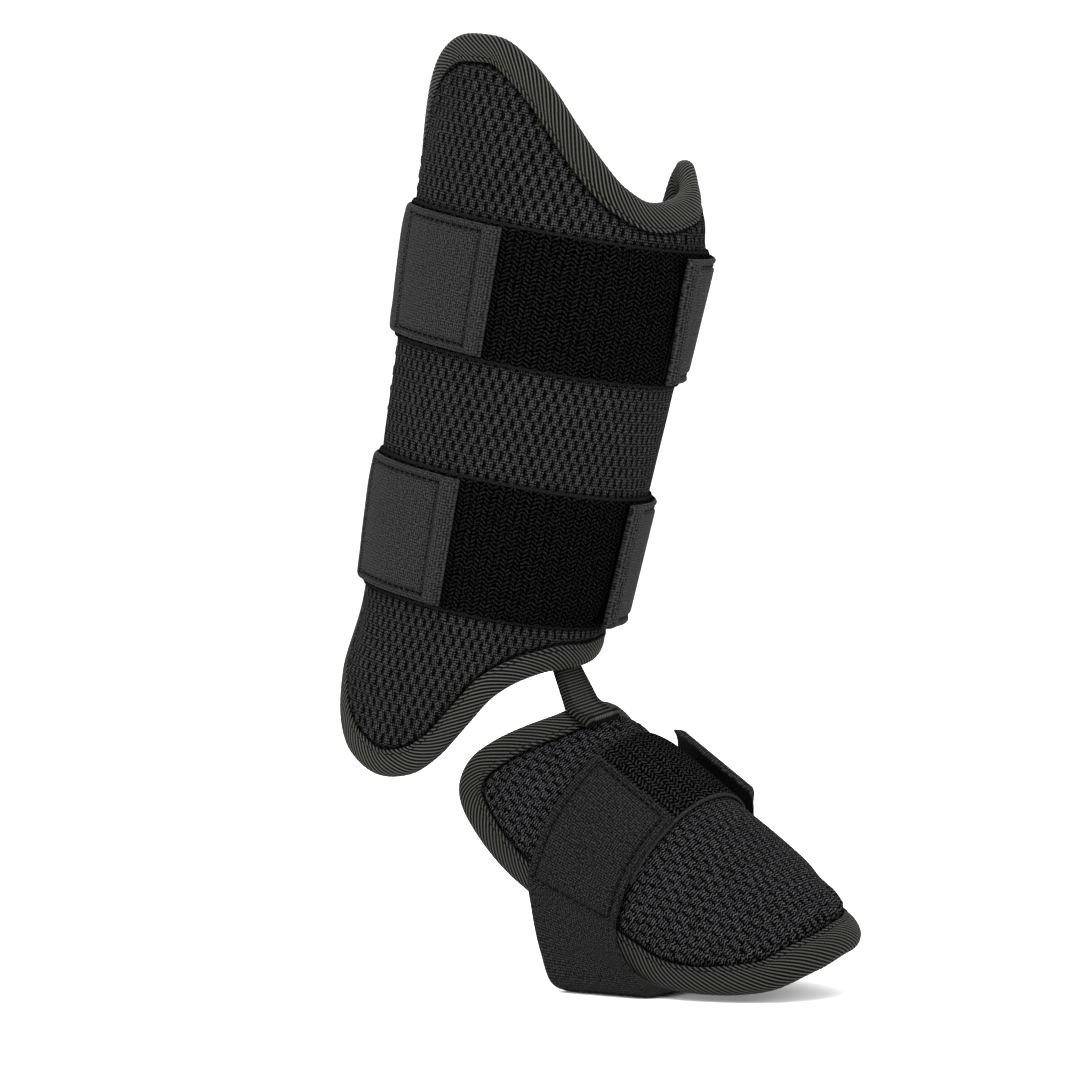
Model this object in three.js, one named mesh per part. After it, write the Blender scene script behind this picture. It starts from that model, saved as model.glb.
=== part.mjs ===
import * as THREE from 'three';

// A batter's shin guard with a foot guard linked below it, for the left leg, standing as it is worn.
// Millimetres, +Z up, toes towards -Y, +X towards the little toe. The origin is on the middle line of
// the lower leg, midway between the two leg straps. Each guard is drawn in a frame of its own: a tube
// whose axis is +Z towards the knee, with angles in degrees from its front line (-Y) towards +X.

// Shin guard
const shinHeight = 290;            // lowest to highest point of the edge, along the leg
const shinRadius = 54.8;           // outer face of the pad at the origin
const shinTaper = 0.05;            // growth of the radius for each millimetre towards the knee
const shinMiddleAngle = -35;       // the pad covers the inner side of the leg more than the outer
const shinHalfAngle = 119;
const shinPadThickness = 9;
const leanForward = 11.9;          // degrees
const leanOutward = 2.3;
const topCurl = 7;                 // how far the top rim curls in over the front of the leg
const bottomCurl = 3;
const curlGrows = [-45, 20];       // angles between which the curl sets in
const curlFades = [40, 80];        // and fades
const ankleBulge = 5.5;            // how far the flap stands out over the ankle bone
const ankleBulgeStart = 76;        // down the leg
const ankleBulgeGrowth = 30;       // down the leg, from there to the full bulge
const ankleBulgeAngle = -175;      // rear end of the bulge
const ankleBulgeSpan = 130;        // degrees

// Foot guard
const footLength = 150;            // ankle edge to toe edge, along the top of the foot
const footSideRadius = 50;
const footTopRadius = 54.8;
const toeNarrowing = 3.5;
const toeStart = 0.14;             // the toes begin this share of the length past the middle
const toeSpan = 0.4;               // and end this share further on
const footMiddleAngle = -9;
const footHalfAngle = 87;
const footPadThickness = 8;
const footSlope = 34;              // degrees below level
const footTurnOut = 8;
const footAhead = 61.2;            // middle of the tube, ahead of the origin
const footOutward = 1.6;           // and beside it
const footBelow = 188.4;
const toeCurl = 4;
const soleBelow = 212;             // ground under the shoe

// Pads and their sewn edge
const edgeThickness = 4;           // the pad is pressed flat under the binding
const edgeDrop = 3;                // outer face at the edge, below the padded middle
const curlReach = 28;              // width of the rims that curl in
const flatEdge = 12;               // width of the pressed edge
const swellWidth = 19;             // from the pressed edge to the full padding
const bindingWidth = 11;
const bindingThickness = 1.2;
const bindingClearance = 0.5;      // the tape bridges the curve of the pad
const clearance = 0.3;             // between cloth layers that touch

// Fastening panels, straps and hook patches
const panelWidth = 54;
const panelThickness = 1;
const panelInnerMargin = 18;       // from the pad's side edges to the ends of the panel
const panelOuterMargin = 24;
const strapWidth = 50;
const strapThickness = 1.4;
const upperStrapRun = 56;          // middle of the strap, along the leg
const lowerStrapRun = -42;
const innerTabAngle = -73;         // where the strap ends on the inner side of the leg
const outerTabAngle = 4;
const backDip = 8;                 // the strap lies closer in, over the calf
const patchThickness = 0.8;
const patchMargin = 2.5;           // from the strap's edges to the hook patch
const legPatchLength = 50;
const liftChange = [2, 14];        // past the patch, where a strap rises to clear the bound edge
const footStrapWidth = 40;
const footPanelWidth = 43;
const footPanelMargin = 26;
const footPatchLength = 33;
const footInnerTabAngle = -31;
const footOuterTabAngle = 23;
const footTabRise = 3;             // the outer tab's end stands off its patch
const footTabBend = 25;            // degrees of the strap that bend up to it
const footStrapRun = 25;           // middle of the strap on top of the foot, along the foot tube
const footStrapSweep = -13;        // it runs this much nearer the toes at the sides of the foot
const footStrapTwist = 5;          // degrees by which its front edge leads at the sides
const footTwistAngles = [35, 90];  // from the front line, where the twist grows
const footStrapLeaves = 12;        // degrees before the pad's inner edge

// Link webbing
const linkWidth = 25;
const linkThickness = 1.5;
const linkShinAngle = 17;
const linkFootAngle = -10;
const linkTuck = 14;               // sewn length behind the shin guard's lower rim
const linkLap = 12;                // sewn length over the foot guard's ankle edge

// Facets
const angleStep = 8.8;             // degrees
const runSteps = 7;
const columnInsets = [0, 2, 5, 9, flatEdge + 2, flatEdge + 8, flatEdge + 14];
const rowInsets = [0, 5, 10, flatEdge + 3, flatEdge + 9, flatEdge + 15];
const rowShares = [0, 0.06, 0.12, 0.18, 0.25, 0.32]; // of the pad's length, where it is short

// Edge of each pad: at is a share of the half angle, top and bottom are shares of the height
const shinOutline = [
  { at: -1, top: 0.29, bottom: -0.205 },
  { at: -0.966, top: 0.346, bottom: -0.265 },
  { at: -0.9, top: 0.402, bottom: -0.324 },
  { at: -0.815, top: 0.452, bottom: -0.38 },
  { at: -0.714, top: 0.488, bottom: -0.425 },
  { at: -0.588, top: 0.511, bottom: -0.459 },
  { at: -0.45, top: 0.515, bottom: -0.473 },
  { at: -0.336, top: 0.496, bottom: -0.463 },
  { at: -0.235, top: 0.463, bottom: -0.433 },
  { at: -0.143, top: 0.424, bottom: -0.385 },
  { at: -0.05, top: 0.387, bottom: -0.336 },
  { at: 0.065, top: 0.352, bottom: -0.307 },
  { at: 0.2, top: 0.336, bottom: -0.292 },
  { at: 0.4, top: 0.345, bottom: -0.287 },
  { at: 0.6, top: 0.37, bottom: -0.281 },
  { at: 0.76, top: 0.392, bottom: -0.274 },
  { at: 0.87, top: 0.38, bottom: -0.257 },
  { at: 0.95, top: 0.336, bottom: -0.225 },
  { at: 1, top: 0.265, bottom: -0.17 },
];
const footOutline = [
  { at: -1, top: 0.28, bottom: 0.17 },
  { at: -0.98, top: 0.345, bottom: 0 },
  { at: -0.94, top: 0.418, bottom: -0.2 },
  { at: -0.88, top: 0.487, bottom: -0.27 },
  { at: -0.8, top: 0.526, bottom: -0.33 },
  { at: -0.67, top: 0.541, bottom: -0.402 },
  { at: -0.5, top: 0.521, bottom: -0.46 },
  { at: -0.33, top: 0.489, bottom: -0.483 },
  { at: -0.15, top: 0.462, bottom: -0.497 },
  { at: 0.1, top: 0.456, bottom: -0.49 },
  { at: 0.33, top: 0.45, bottom: -0.45 },
  { at: 0.56, top: 0.43, bottom: -0.37 },
  { at: 0.79, top: 0.377, bottom: -0.263 },
  { at: 0.93, top: 0.31, bottom: -0.143 },
  { at: 1, top: 0.217, bottom: 0.017 },
];

// The foot strap under the shoe: side is a share of footSideRadius, ahead and tilt are shares of
// footStrapWidth, height is a share of the tube's height above the ground; tilt raises the rear edge
const soleSections = [
  { side: -1.05, ahead: 0.01, height: 0.95, tilt: 0.16 },
  { side: -1.04, ahead: 0.12, height: 0.5, tilt: 0.06 },
  { side: -1, ahead: 0.22, height: 0.1, tilt: 0 },
  { side: -0.9, ahead: 0.25, height: 0, tilt: 0 },
  { side: 0, ahead: 0.27, height: 0, tilt: 0 },
  { side: 0.9, ahead: 0.25, height: 0, tilt: 0 },
  { side: 1, ahead: 0.22, height: 0.1, tilt: 0 },
  { side: 1.04, ahead: 0.12, height: 0.5, tilt: 0.06 },
  { side: 1.05, ahead: 0.01, height: 0.95, tilt: 0.16 },
];
const soleStrapAhead = 56;         // middle of the strap under the shoe, ahead of the origin

const radians = THREE.MathUtils.degToRad;
const degrees = THREE.MathUtils.radToDeg;
const { clamp, smoothstep } = THREE.MathUtils;

// A smooth curve through the rows of a table that never overshoots them
function smoothTable(rows, key, value) {
  const x = rows.map((row) => row[key]);
  const y = rows.map((row) => row[value]);
  const last = x.length - 1;
  const chord = (i) => (y[i + 1] - y[i]) / (x[i + 1] - x[i]);
  const slope = x.map((_, i) => {
    if (i === 0 || i === last) return chord(Math.min(i, last - 1));
    const [before, after] = [chord(i - 1), chord(i)];
    return before * after > 0 ? 2 * before * after / (before + after) : 0;
  });
  return (at) => {
    const i = clamp(x.findLastIndex((knot) => knot <= at), 0, last - 1);
    const span = x[i + 1] - x[i];
    const t = clamp((at - x[i]) / span, 0, 1);
    const rise = t * t * (3 - 2 * t);
    const bend = span * (slope[i] * t * (1 - t) ** 2 - slope[i + 1] * t * t * (1 - t));
    return y[i] + (y[i + 1] - y[i]) * rise + bend;
  };
}

// A closed mesh from points and faces, turned so that its faces point out
function closedGeometry(points, faces) {
  const geometry = new THREE.BufferGeometry();
  let volume = 0;
  for (const [a, b, c] of faces) {
    volume += points[a].dot(new THREE.Vector3().crossVectors(points[b], points[c]));
  }
  const turned = volume > 0 ? faces : faces.map(([a, b, c]) => [a, c, b]);
  geometry.setFromPoints(points);
  geometry.setIndex(turned.flat());
  geometry.computeVertexNormals();
  return geometry;
}

// A sheet with real thickness: two grids of points of one layout, joined round their border
function sheetGeometry(outer, inner) {
  const columns = outer.length;
  const rows = outer[0].length;
  const points = [...outer.flat(), ...inner.flat()];
  const index = (i, j) => i * rows + j;
  const under = columns * rows;
  const faces = [];
  const quad = (a, b, c, d) => faces.push([a, b, c], [a, c, d]);
  for (let i = 0; i + 1 < columns; i++) {
    for (let j = 0; j + 1 < rows; j++) {
      const corners = [index(i, j), index(i + 1, j), index(i + 1, j + 1), index(i, j + 1)];
      quad(...corners);
      quad(...corners.map((corner) => corner + under).reverse());
    }
  }
  const border = gridBorder(columns, rows).map(([i, j]) => index(i, j));
  border.forEach((corner, k) => {
    const next = border[(k + 1) % border.length];
    quad(next, corner, corner + under, next + under);
  });
  return closedGeometry(points, faces);
}

// The border of a grid, once round
function gridBorder(columns, rows) {
  const border = [];
  for (let i = 0; i < columns - 1; i++) border.push([i, 0]);
  for (let j = 0; j < rows - 1; j++) border.push([columns - 1, j]);
  for (let i = columns - 1; i > 0; i--) border.push([i, rows - 1]);
  for (let j = rows - 1; j > 0; j--) border.push([0, j]);
  return border;
}

// A solid through sections with the same number of corners, closed on itself or with flat ends
function sweepGeometry(sections, onItself = false) {
  const corners = sections[0].length;
  const points = sections.flat();
  const faces = [];
  const steps = onItself ? sections.length : sections.length - 1;
  for (let i = 0; i < steps; i++) {
    const next = (i + 1) % sections.length;
    for (let k = 0; k < corners; k++) {
      const [a, b] = [i * corners + k, i * corners + (k + 1) % corners];
      const [c, d] = [next * corners + (k + 1) % corners, next * corners + k];
      faces.push([a, b, c], [a, c, d]);
    }
  }
  if (!onItself) {
    const end = (sections.length - 1) * corners;
    for (let k = 1; k + 1 < corners; k++) {
      faces.push([0, k + 1, k], [end, end + k, end + k + 1]);
    }
  }
  return closedGeometry(points, faces);
}

// A strip of cloth: each section holds the rear and front edge of its inner face
function bandGeometry(sections, thickness) {
  const middles = sections.map(({ rear, front }) => rear.clone().lerp(front, 0.5));
  const last = middles.length - 1;
  const solid = sections.map(({ rear, front }, i) => {
    const along = middles[Math.min(i + 1, last)].clone().sub(middles[Math.max(i - 1, 0)]);
    const out = along.cross(front.clone().sub(rear)).setLength(thickness);
    return [rear, front, front.clone().add(out), rear.clone().add(out)];
  });
  return sweepGeometry(solid);
}

// How far the padding has risen at a distance from the edge: 0 in the pressed edge, 1 in the middle
const swell = (distance) => smoothstep(distance, flatEdge, flatEdge + swellWidth);

// A pad on a tube: its edge in the flat, and the lift of its outer face off the plain tube
function makePad({ height, radius, middleAngle, halfAngle, outline, thickness, radiusAt, shapeAt }) {
  const halfArc = radians(halfAngle) * radius;
  const top = smoothTable(outline, 'at', 'top');
  const bottom = smoothTable(outline, 'at', 'bottom');
  const angleAt = (at) => middleAngle + at * halfAngle;

  const middleSteps = Math.round(2 * (halfArc - columnInsets.at(-1)) / (radians(angleStep) * radius));
  const inner = 1 - columnInsets.at(-1) / halfArc;
  const ats = columnInsets.slice(0, -1).map((inset) => inset / halfArc - 1);
  for (let i = 0; i <= middleSteps; i++) ats.push(-inner + 2 * inner * i / middleSteps);
  ats.push(...columnInsets.slice(0, -1).reverse().map((inset) => 1 - inset / halfArc));

  const runsAt = (at) => {
    const [low, high] = [bottom(at) * height, top(at) * height];
    const tall = high - low;
    const near = rowInsets.map((inset, k) => Math.min(inset, rowShares[k] * tall));
    const runs = near.slice(0, -1).map((inset) => low + inset);
    const [from, to] = [low + near.at(-1), high - near.at(-1)];
    for (let j = 0; j <= runSteps; j++) runs.push(from + (to - from) * j / runSteps);
    runs.push(...near.slice(0, -1).reverse().map((inset) => high - inset));
    return runs;
  };
  const grid = ats.map((at) => runsAt(at).map((run) => ({ x: at * halfArc, run })));
  const edge = gridBorder(grid.length, grid[0].length).map(([i, j]) => grid[i][j]);

  const distance = (x, run) => {
    let nearest = Infinity;
    edge.forEach((a, k) => {
      const b = edge[(k + 1) % edge.length];
      const [ex, er] = [b.x - a.x, b.run - a.run];
      const t = clamp(((x - a.x) * ex + (run - a.run) * er) / (ex * ex + er * er), 0, 1);
      nearest = Math.min(nearest, Math.hypot(x - a.x - t * ex, run - a.run - t * er));
    });
    return nearest;
  };
  const outerLift = (x, run) => {
    const fromEdge = distance(x, run);
    return shapeAt(angleAt(x / halfArc), run, fromEdge) - edgeDrop * (1 - swell(fromEdge));
  };
  const innerLift = (x, run) => {
    const padding = edgeThickness + (thickness - edgeThickness) * swell(distance(x, run));
    return outerLift(x, run) - padding;
  };
  const point = (angle, run, lift) => {
    const reach = radiusAt(angle, run) + lift;
    return new THREE.Vector3(reach * Math.sin(radians(angle)), -reach * Math.cos(radians(angle)), run);
  };
  const place = (x, run, lift) => point(angleAt(x / halfArc), run, lift);
  const seatLift = (angle) => {
    const past = Math.abs(angle - middleAngle) - halfAngle;
    if (past <= 0) return -edgeDrop * (1 - swell(radians(-past) * radius));
    return -edgeDrop - backDip * Math.sin(Math.PI * past / (360 - 2 * halfAngle)) ** 2;
  };
  // Angles once round the tube, from the outer side over the front and the inner side to the back
  const covered = ats.map(angleAt).reverse();
  const open = 360 - 2 * halfAngle;
  const openSteps = Math.round(open / angleStep);
  const behind = Array.from({ length: openSteps - 1 }, (_, i) => covered.at(-1) - open * (i + 1) / openSteps);
  const stations = [...covered, ...behind];
  return { angleAt, stations, radius, halfAngle, middleAngle, height, top, bottom, grid, edge,
    radiusAt, outerLift, innerLift, place, point, seatLift };
}

const shin = makePad({
  height: shinHeight,
  radius: shinRadius,
  middleAngle: shinMiddleAngle,
  halfAngle: shinHalfAngle,
  outline: shinOutline,
  thickness: shinPadThickness,
  radiusAt: (angle, run) => shinRadius + shinTaper * run,
  shapeAt: shinShape,
});

// The rims curl in over the front of the leg, and the inner flap stands out over the ankle bone
function shinShape(angle, run, fromEdge) {
  const front = smoothstep(angle, ...curlGrows) * (1 - smoothstep(angle, ...curlFades));
  const curl = (run > 0 ? topCurl : bottomCurl) * Math.max(0, 1 - fromEdge / curlReach) ** 2;
  const flap = Math.sin(Math.PI * clamp((angle - ankleBulgeAngle) / ankleBulgeSpan, 0, 1)) ** 2;
  const low = smoothstep(-run, ankleBulgeStart, ankleBulgeStart + ankleBulgeGrowth);
  return ankleBulge * flap * low - front * curl;
}

const foot = makePad({
  height: footLength,
  radius: footSideRadius,
  middleAngle: footMiddleAngle,
  halfAngle: footHalfAngle,
  outline: footOutline,
  thickness: footPadThickness,
  radiusAt: footRadius,
  shapeAt: footShape,
});

// The foot's section is a little higher than wide, and narrows at the toes
function footRadius(angle, run) {
  const across = Math.sin(radians(angle)) / footSideRadius;
  const upward = Math.cos(radians(angle)) / footTopRadius;
  const toes = clamp(-(run / footLength + toeStart) / toeSpan, 0, 1);
  return 1 / Math.hypot(across, upward) - toeNarrowing * toes * toes;
}

// Its toe end curls down to the edge
function footShape(angle, run, fromEdge) {
  const toes = Math.cos(radians(clamp(angle, -90, 90))) * smoothstep(-run, 0, footLength / 4);
  return -toeCurl * toes * Math.max(0, 1 - fromEdge / curlReach) ** 2;
}

function padGeometry(pad) {
  const layer = (lift) => pad.grid.map((column) => column.map(({ x, run }) => pad.place(x, run, lift(x, run))));
  return sheetGeometry(layer(pad.outerLift), layer(pad.innerLift));
}

// Tape folded over the pad's edge: inset is measured in from the edge, along the pad
function bindingGeometry(pad) {
  const nose = bindingClearance + bindingThickness;
  const count = pad.edge.length;
  const sections = pad.edge.map(({ x, run }, k) => {
    const before = pad.edge[(k + count - 1) % count];
    const after = pad.edge[(k + 1) % count];
    const into = new THREE.Vector2(before.run - after.run, after.x - before.x).normalize();
    const corner = (inset, layer, lift) => {
      const [cx, crun] = [x + into.x * inset, run + into.y * inset];
      const [lx, lrun] = [x + into.x * Math.max(inset, 0), run + into.y * Math.max(inset, 0)];
      return pad.place(cx, crun, layer(lx, lrun) + lift);
    };
    const [outer, inner] = [pad.outerLift, pad.innerLift];
    return [
      corner(bindingWidth, outer, bindingClearance),
      corner(bindingWidth, outer, nose),
      corner(0, outer, nose),
      corner(-nose, outer, -edgeThickness / 4),
      corner(-nose, inner, edgeThickness / 4),
      corner(0, inner, -nose),
      corner(bindingWidth, inner, -nose),
      corner(bindingWidth, inner, -bindingClearance),
      corner(-bindingClearance, inner, -bindingClearance),
      corner(-bindingClearance, outer, bindingClearance),
      corner(bindingWidth / 2, outer, bindingClearance),
    ];
  });
  return sweepGeometry(sections, true);
}

// Angles from one end down to the other, at the pad's own stations between them
function anglesBetween(pad, from, to) {
  const round = [...pad.stations, ...pad.stations.map((angle) => angle - 360)];
  return [from, ...round.filter((angle) => angle < from - 0.5 && angle > to + 0.5), to];
}

// A strip wrapped on a pad's tube between two angles, at a lift over the place where it sits
function wrapped(pad, angles, runAt, width, liftAt, twistAt = () => 0) {
  return angles.map((angle) => {
    const bow = pad.radius * (1 - Math.cos(radians(twistAt(angle))));
    const edgePoint = (side) => {
      const turned = angle + side * twistAt(angle);
      return pad.point(turned, runAt(angle) - side * width / 2, pad.seatLift(turned) + liftAt(angle) + bow);
    };
    return { rear: edgePoint(-1), front: edgePoint(1) };
  });
}

const panelLift = clearance;
const patchLift = panelLift + panelThickness + clearance;
const edgeLift = bindingClearance + bindingThickness + 2 * clearance;

function panelGeometry(pad, runAt, width, { innerMargin, outerMargin }, twistAt) {
  const from = pad.middleAngle + pad.halfAngle - degrees(outerMargin / pad.radius);
  const to = pad.middleAngle - pad.halfAngle + degrees(innerMargin / pad.radius);
  const angles = anglesBetween(pad, from, to);
  return bandGeometry(wrapped(pad, angles, runAt, width, () => panelLift, twistAt), panelThickness);
}

// A strap lies on its hook patch near the end of the tab, and past it clears the pad's bound edge
function strapLiftAt(pad, angle, endAngle, patchLength) {
  const along = radians(Math.abs(angle - endAngle)) * pad.radius;
  const onPatch = 1 - smoothstep(along - patchLength, ...liftChange);
  return edgeLift + (patchLift + patchThickness + clearance - edgeLift) * onPatch;
}

function patchGeometry(pad, endAngle, direction, runAt, width, length, twistAt) {
  const far = endAngle + direction * degrees(length / pad.radius);
  const [from, to] = [endAngle + direction * degrees(patchMargin / pad.radius), far];
  const angles = anglesBetween(pad, Math.max(from, to), Math.min(from, to));
  const strip = wrapped(pad, angles, runAt, width - 2 * patchMargin, () => patchLift, twistAt);
  return bandGeometry(strip, patchThickness);
}

function legStrapGeometry(run) {
  const angles = anglesBetween(shin, innerTabAngle, outerTabAngle - 360);
  const liftAt = (angle) => {
    const inner = strapLiftAt(shin, angle, innerTabAngle, legPatchLength);
    return Math.max(inner, strapLiftAt(shin, angle, outerTabAngle - 360, legPatchLength));
  };
  const sections = angles.map((angle) => {
    const turned = angle < shinMiddleAngle - 180 ? angle + 360 : angle;
    return wrapped(shin, [turned], () => run, strapWidth, () => liftAt(angle))[0];
  });
  return bandGeometry(sections, strapThickness);
}

const footStrapRunAt = (angle) => footStrapRun + footStrapSweep * (angle / 90) ** 2;
const footStrapTwistAt = (angle) => (
  -footStrapTwist * Math.sign(angle) * smoothstep(Math.abs(angle), ...footTwistAngles)
);

// Frames of the two guards
const shinFrame = new THREE.Group();
shinFrame.rotation.set(radians(leanForward), radians(leanOutward), 0, 'YXZ');
shinFrame.updateMatrixWorld();

const footFrame = new THREE.Group();
const forward = new THREE.Vector3(Math.sin(radians(footTurnOut)), -Math.cos(radians(footTurnOut)), 0);
const sideways = new THREE.Vector3(-forward.y, forward.x, 0);
footFrame.position.copy(forward).multiplyScalar(footAhead).addScaledVector(sideways, footOutward).setZ(-footBelow);
footFrame.rotation.set(radians(footSlope - 90), 0, radians(footTurnOut), 'ZXY');
footFrame.updateMatrixWorld();

// Both ends of the foot strap lie on the guard, and its middle passes flat under the shoe
function footStrapGeometry() {
  const onGuard = (from, to, tabAngle, rise) => {
    const liftAt = (angle) => {
      const lifted = rise * (1 - smoothstep(Math.abs(angle - tabAngle), 0, footTabBend));
      return strapLiftAt(foot, angle, tabAngle, footPatchLength) + lifted;
    };
    const angles = anglesBetween(foot, from, to);
    const strip = wrapped(foot, angles, footStrapRunAt, footStrapWidth, liftAt, footStrapTwistAt);
    return strip.map(({ rear, front }) => ({
      rear: footFrame.localToWorld(rear),
      front: footFrame.localToWorld(front),
    }));
  };
  const shoeHeight = soleBelow - footBelow;
  const soleEdge = ({ side, ahead, height, tilt }, end) => forward.clone()
    .multiplyScalar(soleStrapAhead + (ahead + end * Math.cos(Math.asin(2 * tilt)) / 2) * footStrapWidth)
    .addScaledVector(sideways, footOutward + side * footSideRadius)
    .setZ(height * shoeHeight - soleBelow - end * tilt * footStrapWidth);
  const underShoe = soleSections.map((row) => ({ rear: soleEdge(row, -1), front: soleEdge(row, 1) }));
  const innerEdge = footMiddleAngle - footHalfAngle;
  const outerEdge = footMiddleAngle + footHalfAngle;
  const sections = [
    ...onGuard(footInnerTabAngle, innerEdge + footStrapLeaves, footInnerTabAngle, 0),
    ...underShoe,
    ...onGuard(outerEdge, footOuterTabAngle, footOuterTabAngle, footTabRise),
  ];
  return bandGeometry(sections, strapThickness);
}

// Webbing sewn behind the lower rim of the shin guard and over the ankle edge of the foot guard
function linkGeometry() {
  const overRim = bindingClearance + bindingThickness + clearance;
  const behindRim = edgeThickness + overRim + linkThickness + clearance;
  const section = (pad, frame, angle, run, lift) => {
    const x = radians(angle - pad.middleAngle) * pad.radius;
    const middle = pad.point(angle, run, pad.outerLift(x, run) + lift);
    const across = new THREE.Vector3(Math.cos(radians(angle)), Math.sin(radians(angle)), 0);
    const edgePoint = (end) => frame.localToWorld(middle.clone().addScaledVector(across, end * linkWidth / 2));
    return { rear: edgePoint(-1), front: edgePoint(1) };
  };
  const bow = linkWidth ** 2 / (8 * (shin.radiusAt(0, -shinHeight / 3) - behindRim - bottomCurl));
  const behind = (run) => section(shin, shinFrame, linkShinAngle, run, -behindRim - bow);
  const over = (run) => section(foot, footFrame, linkFootAngle, run, overRim);
  const shinEdge = shin.bottom((linkShinAngle - shinMiddleAngle) / shinHalfAngle) * shinHeight;
  const footEdge = foot.top((linkFootAngle - footMiddleAngle) / footHalfAngle) * footLength;
  const sections = [
    behind(shinEdge + linkTuck),
    behind(shinEdge + linkTuck / 2),
    behind(shinEdge - linkThickness - clearance),
    over(footEdge),
    over(footEdge - linkLap / 2),
    over(footEdge - linkLap),
  ];
  return bandGeometry(sections, linkThickness);
}

const mesh = new THREE.MeshStandardMaterial({ color: 0x1d1d1e, roughness: 0.9, metalness: 0 });
const footMesh = new THREE.MeshStandardMaterial({ color: 0x1a1a1b, roughness: 0.9, metalness: 0 });
const twill = new THREE.MeshStandardMaterial({ color: 0x242420, roughness: 0.8, metalness: 0 });
const fastening = new THREE.MeshStandardMaterial({ color: 0x0b0b0b, roughness: 0.95, metalness: 0 });
const elastic = new THREE.MeshStandardMaterial({ color: 0x252525, roughness: 0.85, metalness: 0 });
const hook = new THREE.MeshStandardMaterial({ color: 0x101010, roughness: 0.7, metalness: 0 });
const webbing = new THREE.MeshStandardMaterial({ color: 0x1f1f1d, roughness: 0.8, metalness: 0 });

function addPiece(group, name, geometry, material) {
  const piece = new THREE.Mesh(geometry, material);
  piece.name = name;
  group.add(piece);
}

addPiece(shinFrame, 'shin_pad', padGeometry(shin), mesh);
addPiece(shinFrame, 'shin_binding', bindingGeometry(shin), twill);
const legMargins = { innerMargin: panelInnerMargin, outerMargin: panelOuterMargin };
for (const [place, run] of [['upper', upperStrapRun], ['lower', lowerStrapRun]]) {
  const level = () => run;
  const patch = (end, direction) => patchGeometry(shin, end, direction, level, strapWidth, legPatchLength);
  addPiece(shinFrame, `${place}_fastening_panel`, panelGeometry(shin, level, panelWidth, legMargins), fastening);
  addPiece(shinFrame, `${place}_inner_hook_patch`, patch(innerTabAngle, -1), hook);
  addPiece(shinFrame, `${place}_outer_hook_patch`, patch(outerTabAngle, 1), hook);
  addPiece(shinFrame, `${place}_strap`, legStrapGeometry(run), elastic);
}

const footPatch = (end, direction) => patchGeometry(
  foot, end, direction, footStrapRunAt, footStrapWidth, footPatchLength, footStrapTwistAt,
);
addPiece(footFrame, 'foot_pad', padGeometry(foot), footMesh);
addPiece(footFrame, 'foot_binding', bindingGeometry(foot), twill);
const footMargins = { innerMargin: footPanelMargin, outerMargin: footPanelMargin };
const footPanel = panelGeometry(foot, footStrapRunAt, footPanelWidth, footMargins, footStrapTwistAt);
addPiece(footFrame, 'foot_fastening_panel', footPanel, fastening);
addPiece(footFrame, 'foot_inner_hook_patch', footPatch(footInnerTabAngle, -1), hook);
addPiece(footFrame, 'foot_outer_hook_patch', footPatch(footOuterTabAngle, 1), hook);

const guard = new THREE.Group();
guard.add(shinFrame, footFrame);
addPiece(guard, 'foot_strap', footStrapGeometry(), elastic);
addPiece(guard, 'link_web', linkGeometry(), webbing);

export default guard;
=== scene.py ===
"""Looks of a batter's shin guard with a linked foot guard: cloth, bindings, straps, stitches and stage.

Shapes are worked out in millimetres and written in metres. Each guard is drawn on a tube: x is the
distance round the tube from its middle line, run is the distance along it, and lift stands off it.
"""

import bpy
import numpy as np
from bpy.props import FloatProperty, FloatVectorProperty, PointerProperty
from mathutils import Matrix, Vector


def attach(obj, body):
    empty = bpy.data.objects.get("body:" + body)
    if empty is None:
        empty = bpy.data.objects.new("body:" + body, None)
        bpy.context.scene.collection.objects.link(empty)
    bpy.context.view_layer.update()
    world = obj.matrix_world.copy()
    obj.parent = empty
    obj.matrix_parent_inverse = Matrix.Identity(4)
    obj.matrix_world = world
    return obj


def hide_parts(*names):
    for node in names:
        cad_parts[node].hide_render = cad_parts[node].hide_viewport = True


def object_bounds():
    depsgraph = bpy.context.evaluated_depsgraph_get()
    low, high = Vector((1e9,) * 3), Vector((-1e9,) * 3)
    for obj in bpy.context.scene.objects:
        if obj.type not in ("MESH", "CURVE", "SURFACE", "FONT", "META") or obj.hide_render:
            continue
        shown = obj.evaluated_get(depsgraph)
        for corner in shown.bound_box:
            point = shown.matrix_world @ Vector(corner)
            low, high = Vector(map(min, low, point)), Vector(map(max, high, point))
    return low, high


bl_info = {
    "name": "Shin and foot guard",
    "version": (1, 0, 0),
    "blender": (4, 5, 0),
    "location": "3D view > Sidebar > Guard",
    "description": "Builds the cloth, bindings, straps and stitches of a shin and foot guard",
    "category": "Add Mesh",
}

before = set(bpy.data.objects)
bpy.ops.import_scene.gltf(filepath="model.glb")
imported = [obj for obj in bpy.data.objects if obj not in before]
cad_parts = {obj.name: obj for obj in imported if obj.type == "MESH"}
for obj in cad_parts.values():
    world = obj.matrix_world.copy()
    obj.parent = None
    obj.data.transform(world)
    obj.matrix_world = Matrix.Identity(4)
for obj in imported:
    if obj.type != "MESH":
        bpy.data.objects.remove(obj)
CAD_BOX = [list(corner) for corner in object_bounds()]
GROUND = CAD_BOX[0][2]
MM = 0.001

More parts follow.
